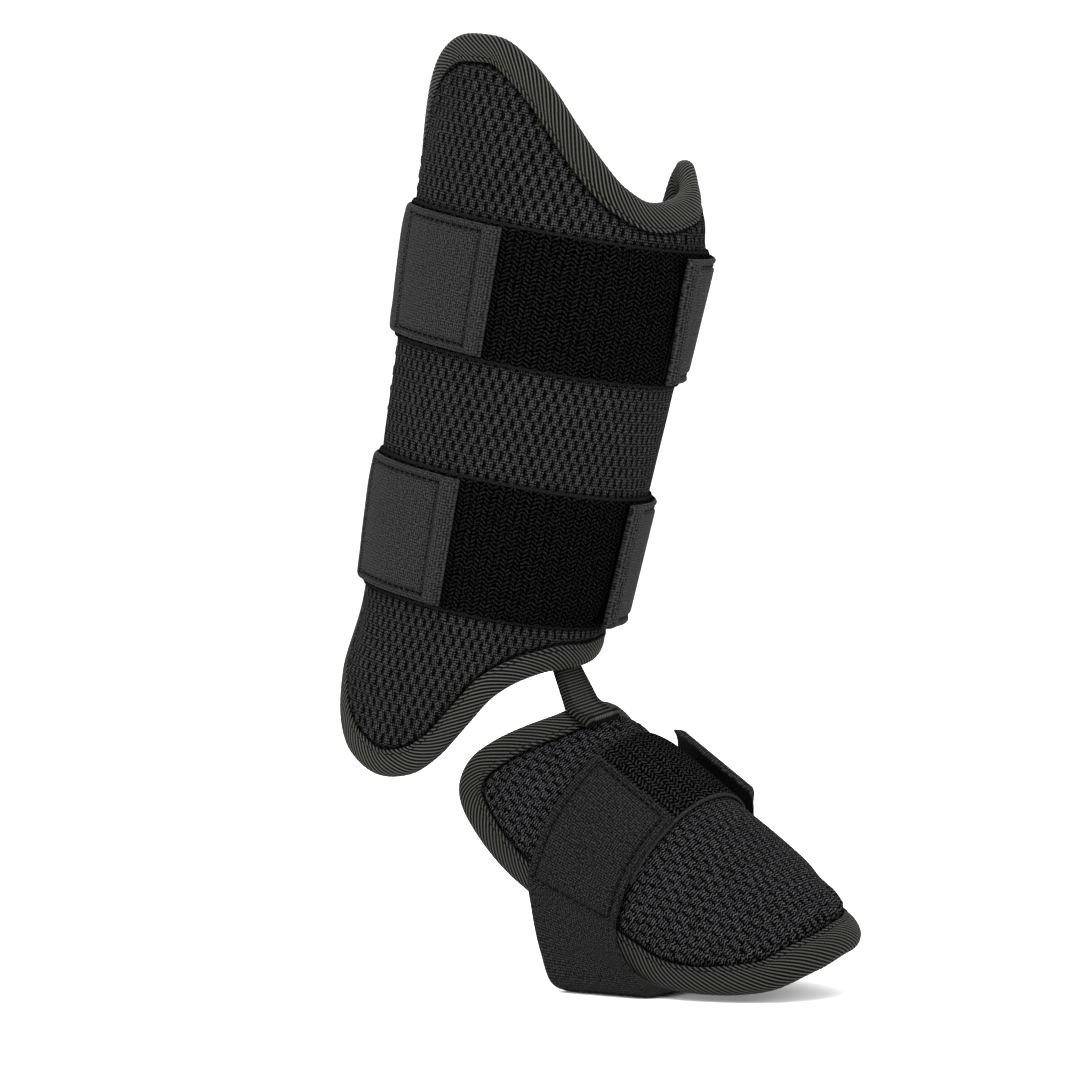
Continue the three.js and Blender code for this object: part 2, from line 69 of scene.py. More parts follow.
# Lengths in millimetres and angles in degrees. The shin guard, as in the part's source
SHIN_HEIGHT = 290.0
SHIN_RADIUS = 54.8
SHIN_TAPER = 0.05
SHIN_MIDDLE = -35.0
SHIN_HALF = 119.0
SHIN_THICKNESS = 9.0
LEAN_FORWARD = 11.9
LEAN_OUTWARD = 2.3
TOP_CURL = 7.0
BOTTOM_CURL = 3.0
ANKLE_BULGE = 5.5
ANKLE_BULGE_START = 76.0
ANKLE_BULGE_GROWTH = 30.0
ANKLE_BULGE_ANGLE = -175.0
ANKLE_BULGE_SPAN = 130.0
CURL_GROWS = (-45.0, 20.0)
CURL_FADES = (40.0, 80.0)
TIP_LEAN = 5.0
TIP_RUNS = (84.0, 114.0)
TIP_ANGLES = (20.0, 60.0)

# Foot guard
FOOT_LENGTH = 150.0
FOOT_SIDE_RADIUS = 50.0
FOOT_TOP_RADIUS = 54.8
TOE_NARROWING = 3.5
TOE_START = 0.14
TOE_SPAN = 0.4
FOOT_MIDDLE = -9.0
FOOT_HALF = 87.0
FOOT_THICKNESS = 8.0
FOOT_SLOPE = 34.0
FOOT_TURN = 8.0
FOOT_AHEAD = 61.2
FOOT_OUTWARD = 1.6
FOOT_BELOW = 188.4
TOE_CURL = 4.0
SOLE_BELOW = 212.0

# Edge, straps and link
EDGE_THICKNESS = 4.0
EDGE_DROP = 3.0
CURL_REACH = 28.0
FLAT_EDGE = 12.0
TAPE_COVER = 8.8
SWELL_WIDTH = 19.0
PANEL_WIDTH = 54.0
PANEL_INNER_MARGIN = 18.0
PANEL_OUTER_MARGIN = 24.0
STRAP_WIDTH = 50.0
STRAP_THICKNESS = 1.4
EDGE_LIFT = 2.3
PATCH_LIFT = 2.7
LEG_RUNS = (("upper", 56.0), ("lower", -42.0))
INNER_TAB = -73.0
OUTER_TAB = 4.0
BACK_DIP = 8.0
LEG_PATCH = 50.0
PATCH_INSET = 2.5
PATCH_STANDOFF = 1.75
PATCH_THICKNESS = 0.7
LEG_PATCH_SHORTER = 2.0
OUTER_PATCH_TURN = 2.0             # degrees from the outer tab's angle to its hook patch
TAB_REACH = 3.0                    # degrees that the inner tab reaches past the part's own
TAB_CUT = 4.0
TAB_CUT_ACROSS = (-20.0, 25.0)
TAB_CUT_LENGTH = 24.0
TAB_LIFT = 1.2
TAB_LIFT_LENGTH = 16.0
STRAP_HEM = 7.5
STRAP_SEAM = 3.0
SEWN_LENGTH = 47.0
SLACK_CHANGE = (30.0, 60.0)
STRAP_CURL = 0.9
STRAP_WAVE = 0.45
STRAP_WAVE_SIZE = 22.0
LIFT_CHANGE = (2.0, 14.0)
FOOT_STRAP_WIDTH = 40.0
FOOT_PANEL_WIDTH = 43.0
FOOT_PANEL_MARGIN = 26.0
FOOT_PATCH = 33.0
FOOT_INNER_TAB = -31.0
FOOT_OUTER_TAB = 23.0
FOOT_TAB_RISE = 3.0
FOOT_TAB_BEND = 25.0
FOOT_STRAP_RUN = 25.0
FOOT_STRAP_SWEEP = -13.0
FOOT_STRAP_TWIST = 5.0
FOOT_TWIST_ANGLES = (35.0, 90.0)
FOOT_STRAP_LEAVES = 12.0
FOOT_STRAP_SPREAD = 1.03
FOOT_SEAM = 3.2
FOOT_SEWN_LENGTH = 52.0
FOOT_HEM = 9.0
FOOT_OUTER_SEWN = 40.0
SOLE_STRAP_AHEAD = 56.0
LINK_WIDTH = 25.0
LINK_THICKNESS = 1.5
LINK_SHIN_ANGLE = 17.0
LINK_FOOT_ANGLE = -10.0
LINK_TUCK = 14.0
LINK_LAP = 12.0
LINK_GATHER = 0.85
LINK_HEM = 4.0
LINK_OVER_RIM = 2.0
CLEARANCE = 0.3

# Relief of the cloth: the rises, the fall and the places are distances past the tape's edge
PUFF_RISE = (-0.8, 3.0)
PUFF_FALL = (5.0, 15.0)
DENT_RISE = (0.0, 7.0)
DENT_DEPTH = 0.45
DENT_SIZE = 34.0
PUCKER_SHARE = 0.4
PUCKER_SWING = 1.2
PUCKER_SWING_SIZE = 23.0
INNER_PUFF = 0.3
GROOVE_PLACE = 0.2
GROOVE_DEPTH = 1.4
GROOVE_WIDTH = 0.9
# Painted shade in the groove along the tape's edge: how dark, and its place past the edge
GROOVE_SHADE = 0.75
GROOVE_SHADE_PLACE = 0.4
PANEL_FLATTENS = (-1.0, 4.0)
# Painted shade beside the panels: how dark, and its width
PANEL_SHADE = 0.5
PANEL_SHADE_WIDTH = 1.2
PANEL_THICKNESS = 1.0
PANEL_STANDOFF = 0.45
PANEL_BOW = 0.5
TAPE_WAVE = 0.22
TAPE_STEP = 0.55
TAPE_STEPS_ACROSS = 40
HEM_POWER = 0.8
HEM_RISE = 1.5
HEM_FADES = (-1.2, 2.2)
THIN_EDGE = 0.9
THIN_SHARE = 0.35
SELVEDGE = (1.0, 1.5)
SELVEDGE_DROP = 0.12
SEAM_GROOVE = (0.4, 1.8)
SEAM_DROP = 0.65
# Painted shade at the strap seams: how dark, and its width
SEAM_SHADE = 0.45
SEAM_SHADE_WIDTH = 0.8
STRAP_THREAD = 0.42
EDGE_THREAD = 0.2
# Seams of the binding: inset from the edge, height over the outer face, and 1 outside or -1 inside
EDGE_SEAMS = ((6.9, 1.1, 1), (9.1, -5.2, -1))

# Edges of the pads: share of the half angle, then top and bottom as shares of the height
SHIN_OUTLINE = np.array([
    (-1, 0.29, -0.205), (-0.966, 0.346, -0.265), (-0.9, 0.402, -0.324), (-0.815, 0.452, -0.38),
    (-0.714, 0.488, -0.425), (-0.588, 0.511, -0.459), (-0.45, 0.515, -0.473), (-0.336, 0.496, -0.463),
    (-0.235, 0.463, -0.433), (-0.143, 0.424, -0.385), (-0.05, 0.387, -0.336), (0.065, 0.352, -0.307),
    (0.2, 0.336, -0.292), (0.4, 0.345, -0.287), (0.6, 0.37, -0.281), (0.76, 0.392, -0.274),
    (0.87, 0.38, -0.257), (0.95, 0.336, -0.225), (1, 0.265, -0.17),
])
FOOT_OUTLINE = np.array([
    (-1, 0.28, 0.17), (-0.98, 0.345, 0), (-0.94, 0.418, -0.2), (-0.88, 0.487, -0.27),
    (-0.8, 0.526, -0.33), (-0.67, 0.541, -0.402), (-0.5, 0.521, -0.46), (-0.33, 0.489, -0.483),
    (-0.15, 0.462, -0.497), (0.1, 0.456, -0.49), (0.33, 0.45, -0.45), (0.56, 0.43, -0.37),
    (0.79, 0.377, -0.263), (0.93, 0.31, -0.143), (1, 0.217, 0.017),
])
# Foot strap under the shoe: side, ahead, height and tilt, as shares
SOLE_SECTIONS = np.array([
    (-1.05, 0.01, 0.95, 0.16), (-1.04, 0.12, 0.5, 0.06), (-1, 0.22, 0.1, 0), (-0.9, 0.25, 0, 0),
    (0, 0.27, 0, 0), (0.9, 0.25, 0, 0), (1, 0.22, 0.1, 0), (1.04, 0.12, 0.5, 0.06),
    (1.05, 0.01, 0.95, 0.16),
])

# Camera: distance and target in metres, lens in millimetres
CAMERA_AZIMUTH = -50.0
CAMERA_HEIGHT = 2.0
CAMERA_DISTANCE = 1.773
CAMERA_LENS = 150.0
CAMERA_TARGET = (0.0035, -0.0066, -0.0433)


def smooth(value, low, high):
    """Rises from 0 at low to 1 at high along t squared times (3 - 2t)."""
    t = np.clip((value - low) / (high - low), 0, 1)
    return t * t * (3 - 2 * t)


def swell(distance):
    """Share of the full padding: 0 on the pressed edge, 1 where the pad is full."""
    return smooth(distance, FLAT_EDGE, FLAT_EDGE + SWELL_WIDTH)


def bell(distance, width):
    return np.exp(-(distance / width) ** 2)


def walked(points):
    """Length gone at each point of a line, from 0 at its first."""
    return np.concatenate([[0], np.cumsum(np.linalg.norm(np.diff(points, axis=0), axis=1))])


def unit(vectors):
    return vectors / np.maximum(np.linalg.norm(vectors, axis=-1, keepdims=True), 1e-9)


def cubic(low, high, slope_low, slope_high, span, t):
    """Cubic from low to high over t from 0 to 1, with the given slopes at its ends."""
    bend = span * (slope_low * t * (1 - t) ** 2 - slope_high * t * t * (1 - t))
    return low + (high - low) * t * t * (3 - 2 * t) + bend


def through(rows, column, at):
    """Cubic through a table's rows; a row's slope is the harmonic mean of the two chords beside it."""
    x, y = rows[:, 0], rows[:, column]
    chord = np.diff(y) / np.diff(x)
    before, after = chord[:-1], chord[1:]
    same = before * after > 0
    middle = np.where(same, 2 * before * after / np.where(same, before + after, 1), 0)
    slope = np.concatenate([chord[:1], middle, chord[-1:]])
    i = np.clip(np.searchsorted(x, at, side="right") - 1, 0, len(x) - 2)
    span = x[i + 1] - x[i]
    t = np.clip((at - x[i]) / span, 0, 1)
    return cubic(y[i], y[i + 1], slope[i], slope[i + 1], span, t)


def flowing(knots, values, at):
    """Cubic between knots whose slope at a knot is the central difference of its neighbours."""
    slope = np.gradient(values, knots, axis=0)
    i = np.clip(np.searchsorted(knots, at, side="right") - 1, 0, len(knots) - 2)
    span = (knots[i + 1] - knots[i])[..., None]
    t = (at - knots[i])[..., None] / span
    return cubic(values[i], values[i + 1], slope[i], slope[i + 1], span, t)


def turn(axis, degrees):
    """Rotation matrix about one axis: cosine on the two other axes, plus and minus sine across them."""
    c, s = np.cos(np.radians(degrees)), np.sin(np.radians(degrees))
    i, j = [(1, 2), (2, 0), (0, 1)]["xyz".index(axis)]
    matrix = np.eye(3)
    matrix[i, i] = matrix[j, j] = c
    matrix[i, j], matrix[j, i] = -s, s
    return matrix


def ripple(x, y, size):
    """Soft uneven waves between -1 and 1: the mean of three sines that cross at unlike angles."""
    a = np.sin((x + 0.35 * y) * 2.1 / size + 1.3)
    b = np.sin((0.8 * y - 0.4 * x) * 2.9 / size + 0.4 + a)
    c = np.sin((0.5 * x + 0.9 * y) * 4.7 / size + 2.6 + b)
    return (a + b + c) / 3


class Pad:
    """A pad on a tube, with its edge in the flat and the lift of its two faces."""

    def __init__(self, height, radius, middle, half, outline, thickness, matrix, offset):
        self.height, self.radius, self.middle, self.half = height, radius, middle, half
        self.outline, self.thickness, self.matrix, self.offset = outline, thickness, matrix, offset
        self.half_arc = np.radians(half) * radius
        self.edge, self.into, self.edge_length = self.edge_loop(0.5)

    def bottom(self, x):
        return through(self.outline, 2, x / self.half_arc) * self.height

    def top(self, x):
        return through(self.outline, 1, x / self.half_arc) * self.height

    def edge_loop(self, step):
        """Points every step of the outline: bottom, outer side, top and inner side, with rounded corners.

        The outline is walked at equal lengths, then each point is the mean of its near neighbours.
        """
        x = -np.cos(np.linspace(0, np.pi, 400)) * self.half_arc
        low = np.stack([x, self.bottom(x)], 1)
        high = np.stack([x, self.top(x)], 1)[::-1]
        walk = np.concatenate([low, high, low[:1]])
        gone = walked(walk)
        count = int(gone[-1] / step)
        at = np.arange(count) * gone[-1] / count
        loop = np.stack([np.interp(at, gone, walk[:, k]) for k in (0, 1)], 1)
        for _ in range(4):
            loop = sum(np.roll(loop, k, axis=0) for k in range(-4, 5)) / 9
        ahead = np.roll(loop, -3, axis=0) - np.roll(loop, 3, axis=0)
        return loop, unit(np.stack([-ahead[:, 1], ahead[:, 0]], 1)), gone[-1]

    def from_edge(self, x, run):
        """Distance to the nearest point of the edge, and how far round the edge that point is."""
        skip, chunk, close = 4, 8000, 6
        coarse = self.edge[::skip]
        flat = np.stack([np.ravel(x), np.ravel(run)], 1)
        nearest = np.concatenate([
            ((part[:, None, :] - coarse[None]) ** 2).sum(2).argmin(1)
            for part in np.array_split(flat, 1 + len(flat) // chunk)
        ])
        gap = flat - coarse[nearest]
        inward = np.abs((gap * self.into[::skip][nearest]).sum(1))
        near = np.sqrt((gap ** 2).sum(1))
        distance = np.where(near < close, inward, near)
        around = nearest * skip / len(self.edge) * self.edge_length
        return distance.reshape(np.shape(x)), around.reshape(np.shape(x))

    def angle(self, x):
        return self.middle + x / self.half_arc * self.half

    def point(self, angle, run, lift):
        """A point in the row's frame: the tube's radius plus lift, at an angle and a run."""
        reach = self.reach(angle, run) + lift
        a = np.radians(angle)
        local = np.stack(np.broadcast_arrays(reach * np.sin(a), -reach * np.cos(a), run), -1)
        return local @ self.matrix.T + self.offset

    def place(self, x, run, lift):
        return self.point(self.angle(x), run, lift)

    def outer(self, x, run, distance=None):
        """Lift of the outer face: the shape of the guard, less the drop towards the pressed edge."""
        if distance is None:
            distance = self.from_edge(x, run)[0]
        return self.shape(self.angle(x), run, distance) - EDGE_DROP * (1 - swell(distance))

    def padding(self, distance):
        """Thickness of the pad: pressed flat at the edge, swelling to the full padding."""
        return EDGE_THICKNESS + (self.thickness - EDGE_THICKNESS) * swell(distance)

    def seat(self, angle):
        """Lift that a strap lies on: the pad's face in front, and a sine squared dip behind the leg."""
        past = np.abs(angle - self.middle) - self.half
        behind = -EDGE_DROP - BACK_DIP * np.sin(np.pi * past / (360 - 2 * self.half)) ** 2
        return np.where(past <= 0, -EDGE_DROP * (1 - swell(np.radians(-past) * self.radius)), behind)


class ShinPad(Pad):
    """A cone that widens towards the knee."""

    def reach(self, angle, run):
        return SHIN_RADIUS + SHIN_TAPER * run

    def shape(self, angle, run, distance):
        """The rims curl in over the front of the leg, and the inner flap stands out at the ankle.

        The outer wing's tip leans in, smoothly along the run and round the leg.
        """
        front = smooth(angle, *CURL_GROWS) * (1 - smooth(angle, *CURL_FADES))
        curl = np.where(run > 0, TOP_CURL, BOTTOM_CURL) * np.maximum(0, 1 - distance / CURL_REACH) ** 2
        flap = np.sin(np.pi * np.clip((angle - ANKLE_BULGE_ANGLE) / ANKLE_BULGE_SPAN, 0, 1)) ** 2
        low = smooth(-run, ANKLE_BULGE_START, ANKLE_BULGE_START + ANKLE_BULGE_GROWTH)
        tip = TIP_LEAN * smooth(run, *TIP_RUNS) * smooth(angle, *TIP_ANGLES)
        return ANKLE_BULGE * flap * low - front * curl - tip


class FootPad(Pad):
    """A tube a little higher than wide, narrower at the toes."""

    def reach(self, angle, run):
        a = np.radians(angle)
        toes = np.clip(-(run / FOOT_LENGTH + TOE_START) / TOE_SPAN, 0, 1)
        oval = 1 / np.hypot(np.sin(a) / FOOT_SIDE_RADIUS, np.cos(a) / FOOT_TOP_RADIUS)
        return oval - TOE_NARROWING * toes * toes

    def shape(self, angle, run, distance):
        """The toe end curls down to its edge."""
        toes = np.cos(np.radians(np.clip(angle, -90, 90))) * smooth(-run, 0, FOOT_LENGTH / 4)
        return -TOE_CURL * toes * np.maximum(0, 1 - distance / CURL_REACH) ** 2


SHIN = ShinPad(
    SHIN_HEIGHT, SHIN_RADIUS, SHIN_MIDDLE, SHIN_HALF, SHIN_OUTLINE, SHIN_THICKNESS,
    turn("y", LEAN_OUTWARD) @ turn("x", LEAN_FORWARD), np.zeros(3),
)
AHEAD = np.array([np.sin(np.radians(FOOT_TURN)), -np.cos(np.radians(FOOT_TURN)), 0])
ASIDE = np.array([-AHEAD[1], AHEAD[0], 0])
FOOT = FootPad(
    FOOT_LENGTH, FOOT_SIDE_RADIUS, FOOT_MIDDLE, FOOT_HALF, FOOT_OUTLINE, FOOT_THICKNESS,
    turn("z", FOOT_TURN) @ turn("x", FOOT_SLOPE - 90),
    AHEAD * FOOT_AHEAD + ASIDE * FOOT_OUTWARD - np.array([0, 0, FOOT_BELOW]),
)


def off_seam(along, across, seam):
    """Distance to a line of stitches, which runs along a strip or straight across it."""
    gaps = [
        value - np.clip(value, min(ends), max(ends)) for value, ends in zip((along, across), zip(*seam))
    ]
    return np.hypot(*gaps)


def sewn_box(near, away, edge):
    """Four lines of stitches, as start and end: across at near, across at away, and along both sides."""
    across = [((at, -edge), (at, edge)) for at in (near, away)]
    return across + [((near, side), (away, side)) for side in (-edge, edge)]


class Band:
    """A strip of cloth over its underside, with rolled hems at its ends and grooves along its seams.

    The underside is a function of along and across, and a seam is a line of stitches.
    """

    def __init__(self, length, width, under, thick, hems=(0, 0), seams=()):
        self.length, self.width, self.under = length, width, under
        self.thick, self.hems, self.seams = thick, hems, seams

    def painted_shade(self, along, across):
        """Painted shade at the seams: a bell curve of the distance to the nearest seam."""
        depth = np.zeros(along.shape)
        for seam in self.seams:
            depth = np.maximum(depth, SEAM_SHADE * bell(off_seam(along, across, seam), SEAM_SHADE_WIDTH))
        return depth

    def thickness(self, along, across):
        """Round thin edges, hems as a half sine wave to a power, and smooth grooves at the seams."""
        side = self.width / 2 - np.abs(across)
        rim = np.minimum(np.minimum(along, self.length - along), side)
        full = self.thick * (THIN_SHARE + (1 - THIN_SHARE) * np.sqrt(np.clip(rim / THIN_EDGE, 0, 1)))
        for end, size in ((along, self.hems[0]), (self.length - along, self.hems[1])):
            if size:
                roll = np.sin(np.pi * np.clip(end / size, 0, 1)) ** HEM_POWER
                full = full + HEM_RISE * self.thick * roll * smooth(side, *HEM_FADES)
        full = full - SELVEDGE_DROP * self.thick * (1 - smooth(side, *SELVEDGE))
        for seam in self.seams:
            full = full - SEAM_DROP * self.thick * (1 - smooth(off_seam(along, across, seam), *SEAM_GROOVE))
        return full

    def faces(self, along, across):
        """The underside, the top (the underside plus its normal times thickness) and the normal."""
        under = self.under(along, across)
        step = 0.4
        ahead = self.under(along + step, across) - self.under(along - step, across)
        aside = self.under(along, across + step) - self.under(along, across - step)
        out = unit(np.cross(ahead, aside))
        return under, under + out * self.thickness(along, across)[..., None], out


def between(edges, share):
    """Point at a share of the way between the two edges of a strip, whose points stand side by side."""
    return edges[..., :3] * (1 - share) + edges[..., 3:] * share


def make_mesh(name, points, triangles, flat, painted_shade=0.0):
    """A mesh in metres from points in millimetres, with the flat cloth's millimetres as its UV map.

    A point attribute holds painted shade: how far the cloth is darkened, from 0 to 1, where shade falls in
    grooves, beside panels and at seams.
    """
    a, b, c = (points[triangles[:, k]] for k in range(3))
    if np.einsum("ij,ij->", a, np.cross(b, c)) < 0:
        triangles = triangles[:, ::-1]
    mesh = bpy.data.meshes.new(name)
    mesh.vertices.add(len(points))
    mesh.vertices.foreach_set("co", (points * MM).astype(np.float32).ravel())
    mesh.loops.add(triangles.size)
    mesh.loops.foreach_set("vertex_index", triangles.astype(np.int32).ravel())
    mesh.polygons.add(len(triangles))
    mesh.polygons.foreach_set("loop_start", np.arange(0, triangles.size, 3, dtype=np.int32))
    mesh.polygons.foreach_set("use_smooth", np.ones(len(triangles), bool))
    layer = mesh.uv_layers.new(name="cloth")
    layer.uv.foreach_set("vector", flat[triangles.ravel()].astype(np.float32).ravel())
    depth = mesh.attributes.new("painted_shade", "FLOAT", "POINT")
    depth.data.foreach_set("value", np.broadcast_to(painted_shade, len(points)).astype(np.float32))
    mesh.update(calc_edges=True)
    mesh.validate()
    return mesh


def add_piece(name, mesh, material, slot, *nodes):
    """Links a finished mesh as a piece that rides on the root and stands for its CAD nodes."""
    mesh.materials.append(material)
    piece = bpy.data.objects.new(name, mesh)
    bpy.context.scene.collection.objects.link(piece)
    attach(piece, "root")
    if nodes:
        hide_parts(*nodes)
    return piece


def grid_triangles(rows, columns, round_rows=False):
    """Two triangles for each cell of a grid, whose rows may close into a ring."""
    i = np.arange(rows if round_rows else rows - 1)[:, None]
    j = np.arange(columns - 1)[None]
    a = i * columns + j
    b = (i + 1) % rows * columns + j
    first = np.stack([a, b, b + 1], -1).reshape(-1, 3)
    second = np.stack([a, b + 1, a + 1], -1).reshape(-1, 3)
    return np.concatenate([first, second])


def closed_sheet(top, bottom, triangles):
    """Triangles of a solid sheet: the top, the bottom turned over, and a wall along the border.

    A border edge is a triangle's edge that no other triangle walks the other way.
    """
    count = len(top)
    edges = np.concatenate([triangles[:, [0, 1]], triangles[:, [1, 2]], triangles[:, [2, 0]]])
    keys = edges[:, 0] * count + edges[:, 1]
    border = edges[~np.isin(edges[:, 1] * count + edges[:, 0], keys)]
    a, b = border[:, 0], border[:, 1]
    wall = np.concatenate([np.stack([b, a, a + count], 1), np.stack([b, a + count, b + count], 1)])
    return np.concatenate([top, bottom]), np.concatenate([triangles, triangles[:, ::-1] + count, wall])


def trimmed_grid(pad, step_x, step_run):
    """A square grid trimmed to the pad's edge: rows past the edge gather on it and fold away."""
    x = np.linspace(-pad.half_arc, pad.half_arc, int(2 * pad.half_arc / step_x) + 1)
    low, high = pad.bottom(x)[:, None], pad.top(x)[:, None]
    rows = np.arange(low.min() - step_run, high.max() + 2 * step_run, step_run)[None]
    run = np.clip(rows, low, high)
    j = np.arange(rows.shape[1])[None]
    first = (rows <= low).sum(1, keepdims=True) - 1
    last = (rows < high).sum(1, keepdims=True)
    kept = np.arange(len(x))[:, None] * rows.shape[1] + np.clip(j, first, last)
    triangles = kept.ravel()[grid_triangles(*run.shape)]
    a, b, c = triangles.T
    triangles = triangles[(a != b) & (b != c) & (c != a)]
    used, triangles = np.unique(triangles, return_inverse=True)
    return np.broadcast_to(x[:, None], run.shape).ravel()[used], run.ravel()[used], triangles.reshape(-1, 3)


def pad_cloth(pad, name, step, puffed, gather, panels):
    """The padded body: outer face puffed and gathered beside the seam, with soft dents; plain inner face.

    The gathers are a sine along the edge, once every gather, whose phase swings with a slower sine.
    The groove along the tape's edge is a bell curve, and the cloth lies flat under a panel, which is
    given by its middle line and width. Painted shade darkens the groove and a band beside each panel.
    """
    x, run, triangles = trimmed_grid(pad, *step)
    distance, round_edge = pad.from_edge(x, run)
    past = distance - TAPE_COVER
    puff = smooth(past, *PUFF_RISE) * (1 - smooth(past, *PUFF_FALL))
    phase = round_edge * 2 * np.pi / gather + PUCKER_SWING * np.sin(round_edge / PUCKER_SWING_SIZE)
    pucker = PUCKER_SHARE * puffed * np.sin(phase) * puff
    dents = DENT_DEPTH * ripple(x, run, DENT_SIZE) * smooth(past, *DENT_RISE)
    raised = puffed * puff + pucker + dents - GROOVE_DEPTH * bell(past - GROOVE_PLACE, GROOVE_WIDTH)
    # Painted shade: darker cloth in the groove by the tape and, below, beside the panels
    painted_shade = GROOVE_SHADE * bell(past - GROOVE_SHADE_PLACE, GROOVE_WIDTH)
    for run_at, width in panels:
        beside = np.abs(run - run_at(pad.angle(x))) - width / 2
        raised = raised * smooth(beside, *PANEL_FLATTENS)
        painted_shade = np.maximum(painted_shade, PANEL_SHADE * bell(beside, PANEL_SHADE_WIDTH))
    outer = pad.outer(x, run, distance)
    top = pad.place(x, run, outer + raised)
    bottom = pad.place(x, run, outer - pad.padding(distance) - INNER_PUFF * puff)
    points, triangles = closed_sheet(top, bottom, triangles)
    flat = np.tile(np.stack([x, run], 1), (2, 1))
    return make_mesh(name, points, triangles, flat, np.tile(painted_shade, 2))


# Section of the folded tape: inset from the edge and height over the pad's outer face, once round
TAPE_SECTION = np.array([
    (8.4, 0.1), (8.55, 0.5), (8.1, 0.95), (7.5, 1.0), (6.8, 0.8), (6.1, 1.1), (4.8, 1.5), (2.8, 1.7),
    (0.8, 1.6), (-0.7, 0.9), (-1.6, -0.5), (-1.9, -2.0), (-1.6, -3.5), (-0.7, -4.9), (0.8, -5.6),
    (3.0, -5.7), (6.0, -5.6), (8.2, -5.15), (9.0, -4.85), (9.9, -5.05), (10.7, -5.0), (11.15, -4.55),
    (11.0, -4.15),
])
# The tape's inside, which follows its section back along the pad
TAPE_LINING = np.array([(9.0, -4.1), (0.0, -4.1), (-0.4, -2.0), (0.0, 0.1), (7.0, 0.1)])


def tape_points(pad, around, inset, height):
    """Points of the binding: the edge's point moved in by inset, at height over the outer face."""
    i = around / pad.edge_length * len(pad.edge)
    low = np.floor(i).astype(int) % len(pad.edge)
    high = (low + 1) % len(pad.edge)
    share = (i - np.floor(i))[..., None]
    edge = pad.edge[low] * (1 - share) + pad.edge[high] * share
    into = pad.into[low] * (1 - share) + pad.into[high] * share
    spot = edge + into * np.maximum(inset, 0)[..., None]
    lift = pad.outer(spot[..., 0], spot[..., 1], np.maximum(inset, 0) + 0 * spot[..., 0])
    spot = edge + into * inset[..., None]
    return pad.place(spot[..., 0], spot[..., 1], lift + height)


def binding(pad, name, rib, slant, relief):
    """Twill tape folded over the edge: its section carried round, raised by slanted rounded ribs.

    A rib's height is the sine of its phase, and the phase grows round the edge and across the tape.
    """
    knots = walked(TAPE_SECTION)
    across = np.linspace(0, knots[-1], TAPE_STEPS_ACROSS)
    section = flowing(knots, TAPE_SECTION, across)
    tangent = np.gradient(section, axis=0)
    out = unit(np.stack([tangent[:, 1], -tangent[:, 0]], 1))
    count = int(pad.edge_length / TAPE_STEP)
    around = np.arange(count) * pad.edge_length / count
    s, t = np.meshgrid(around, across, indexing="ij")
    ribs = round(pad.edge_length / rib)
    phase = ribs * s / pad.edge_length + t * slant / rib
    lift = relief * np.abs(np.sin(np.pi * phase))
    wave = TAPE_WAVE * np.sin(s / 6.1 + np.sin(s / 17)) * smooth(section[:, 0], 2, 7)
    inset, height = (
        np.concatenate([face, np.broadcast_to(inside, (count, len(inside)))], 1)
        for face, inside in zip(
            (section[:, 0] + out[:, 0] * lift + wave, section[:, 1] + out[:, 1] * lift), TAPE_LINING.T,
        )
    )
    points = tape_points(pad, np.broadcast_to(around[:, None], inset.shape), inset, height)
    columns = inset.shape[1]
    triangles = grid_triangles(count, columns + 1, True)
    triangles = triangles // (columns + 1) * columns + triangles % (columns + 1) % columns
    flat = np.stack([np.broadcast_to(around[:, None] * ribs * rib / pad.edge_length, inset.shape),
                     np.broadcast_to(np.pad(across, (0, len(TAPE_LINING)), "edge"), inset.shape)], -1)
    return make_mesh(name, points.reshape(-1, 3), triangles, flat.reshape(-1, 2))


def band_mesh(name, band, step):
    """A closed strip of cloth from a grid along and across, both ends as the band's shape gives them."""
    along = np.linspace(0, band.length, int(band.length / step) + 1)
    across = np.linspace(-band.width / 2, band.width / 2, int(band.width / step) + 1)
    border = 0.25
    edge = band.width / 2 - border
    across = np.unique(np.concatenate([across, [-edge, edge]]))
    along = np.unique(np.concatenate([along, [border, band.length - border]]))
    a, c = np.meshgrid(along, across, indexing="ij")
    under, top, _ = band.faces(a, c)
    points, triangles = closed_sheet(top.reshape(-1, 3), under.reshape(-1, 3), grid_triangles(*a.shape))
    flat = np.tile(np.stack([a, c], -1).reshape(-1, 2), (2, 1))
    # Painted shade at the seams, on the top face only
    painted_shade = band.painted_shade(a, c).ravel()
    return make_mesh(name, points, triangles, flat, np.concatenate([painted_shade, 0 * painted_shade]))


def panel_band(pad, run_at, width, inner_margin, outer_margin, twist_at):
    """Loop tape sewn over the pad: it lies on the pad's own face, lower along its sewn edges."""
    start = pad.middle - pad.half + np.degrees(inner_margin / pad.radius)
    end = pad.middle + pad.half - np.degrees(outer_margin / pad.radius)
    length = np.radians(end - start) * pad.radius

    def under(along, across):
        angle = start + np.degrees(along / pad.radius)
        turned = angle - across / (width / 2) * twist_at(angle)
        run = run_at(angle) + across
        x = (turned - pad.middle) / pad.half * pad.half_arc
        bow = PANEL_BOW * np.sqrt(np.maximum(np.cos(np.pi * across / width), 0))
        return pad.point(turned, run, pad.outer(x, run) + PANEL_STANDOFF + bow)
    return Band(length, width, under, PANEL_THICKNESS)


def strap_lift(pad, angle, tab, patch):
    """Lift of a strap: over its hook patch near the tab, and past that over the pad's bound edge."""
    along = np.radians(np.abs(angle - tab)) * pad.radius
    on_patch = 1 - smooth(along - patch, *LIFT_CHANGE)
    return EDGE_LIFT + (PATCH_LIFT - EDGE_LIFT) * on_patch


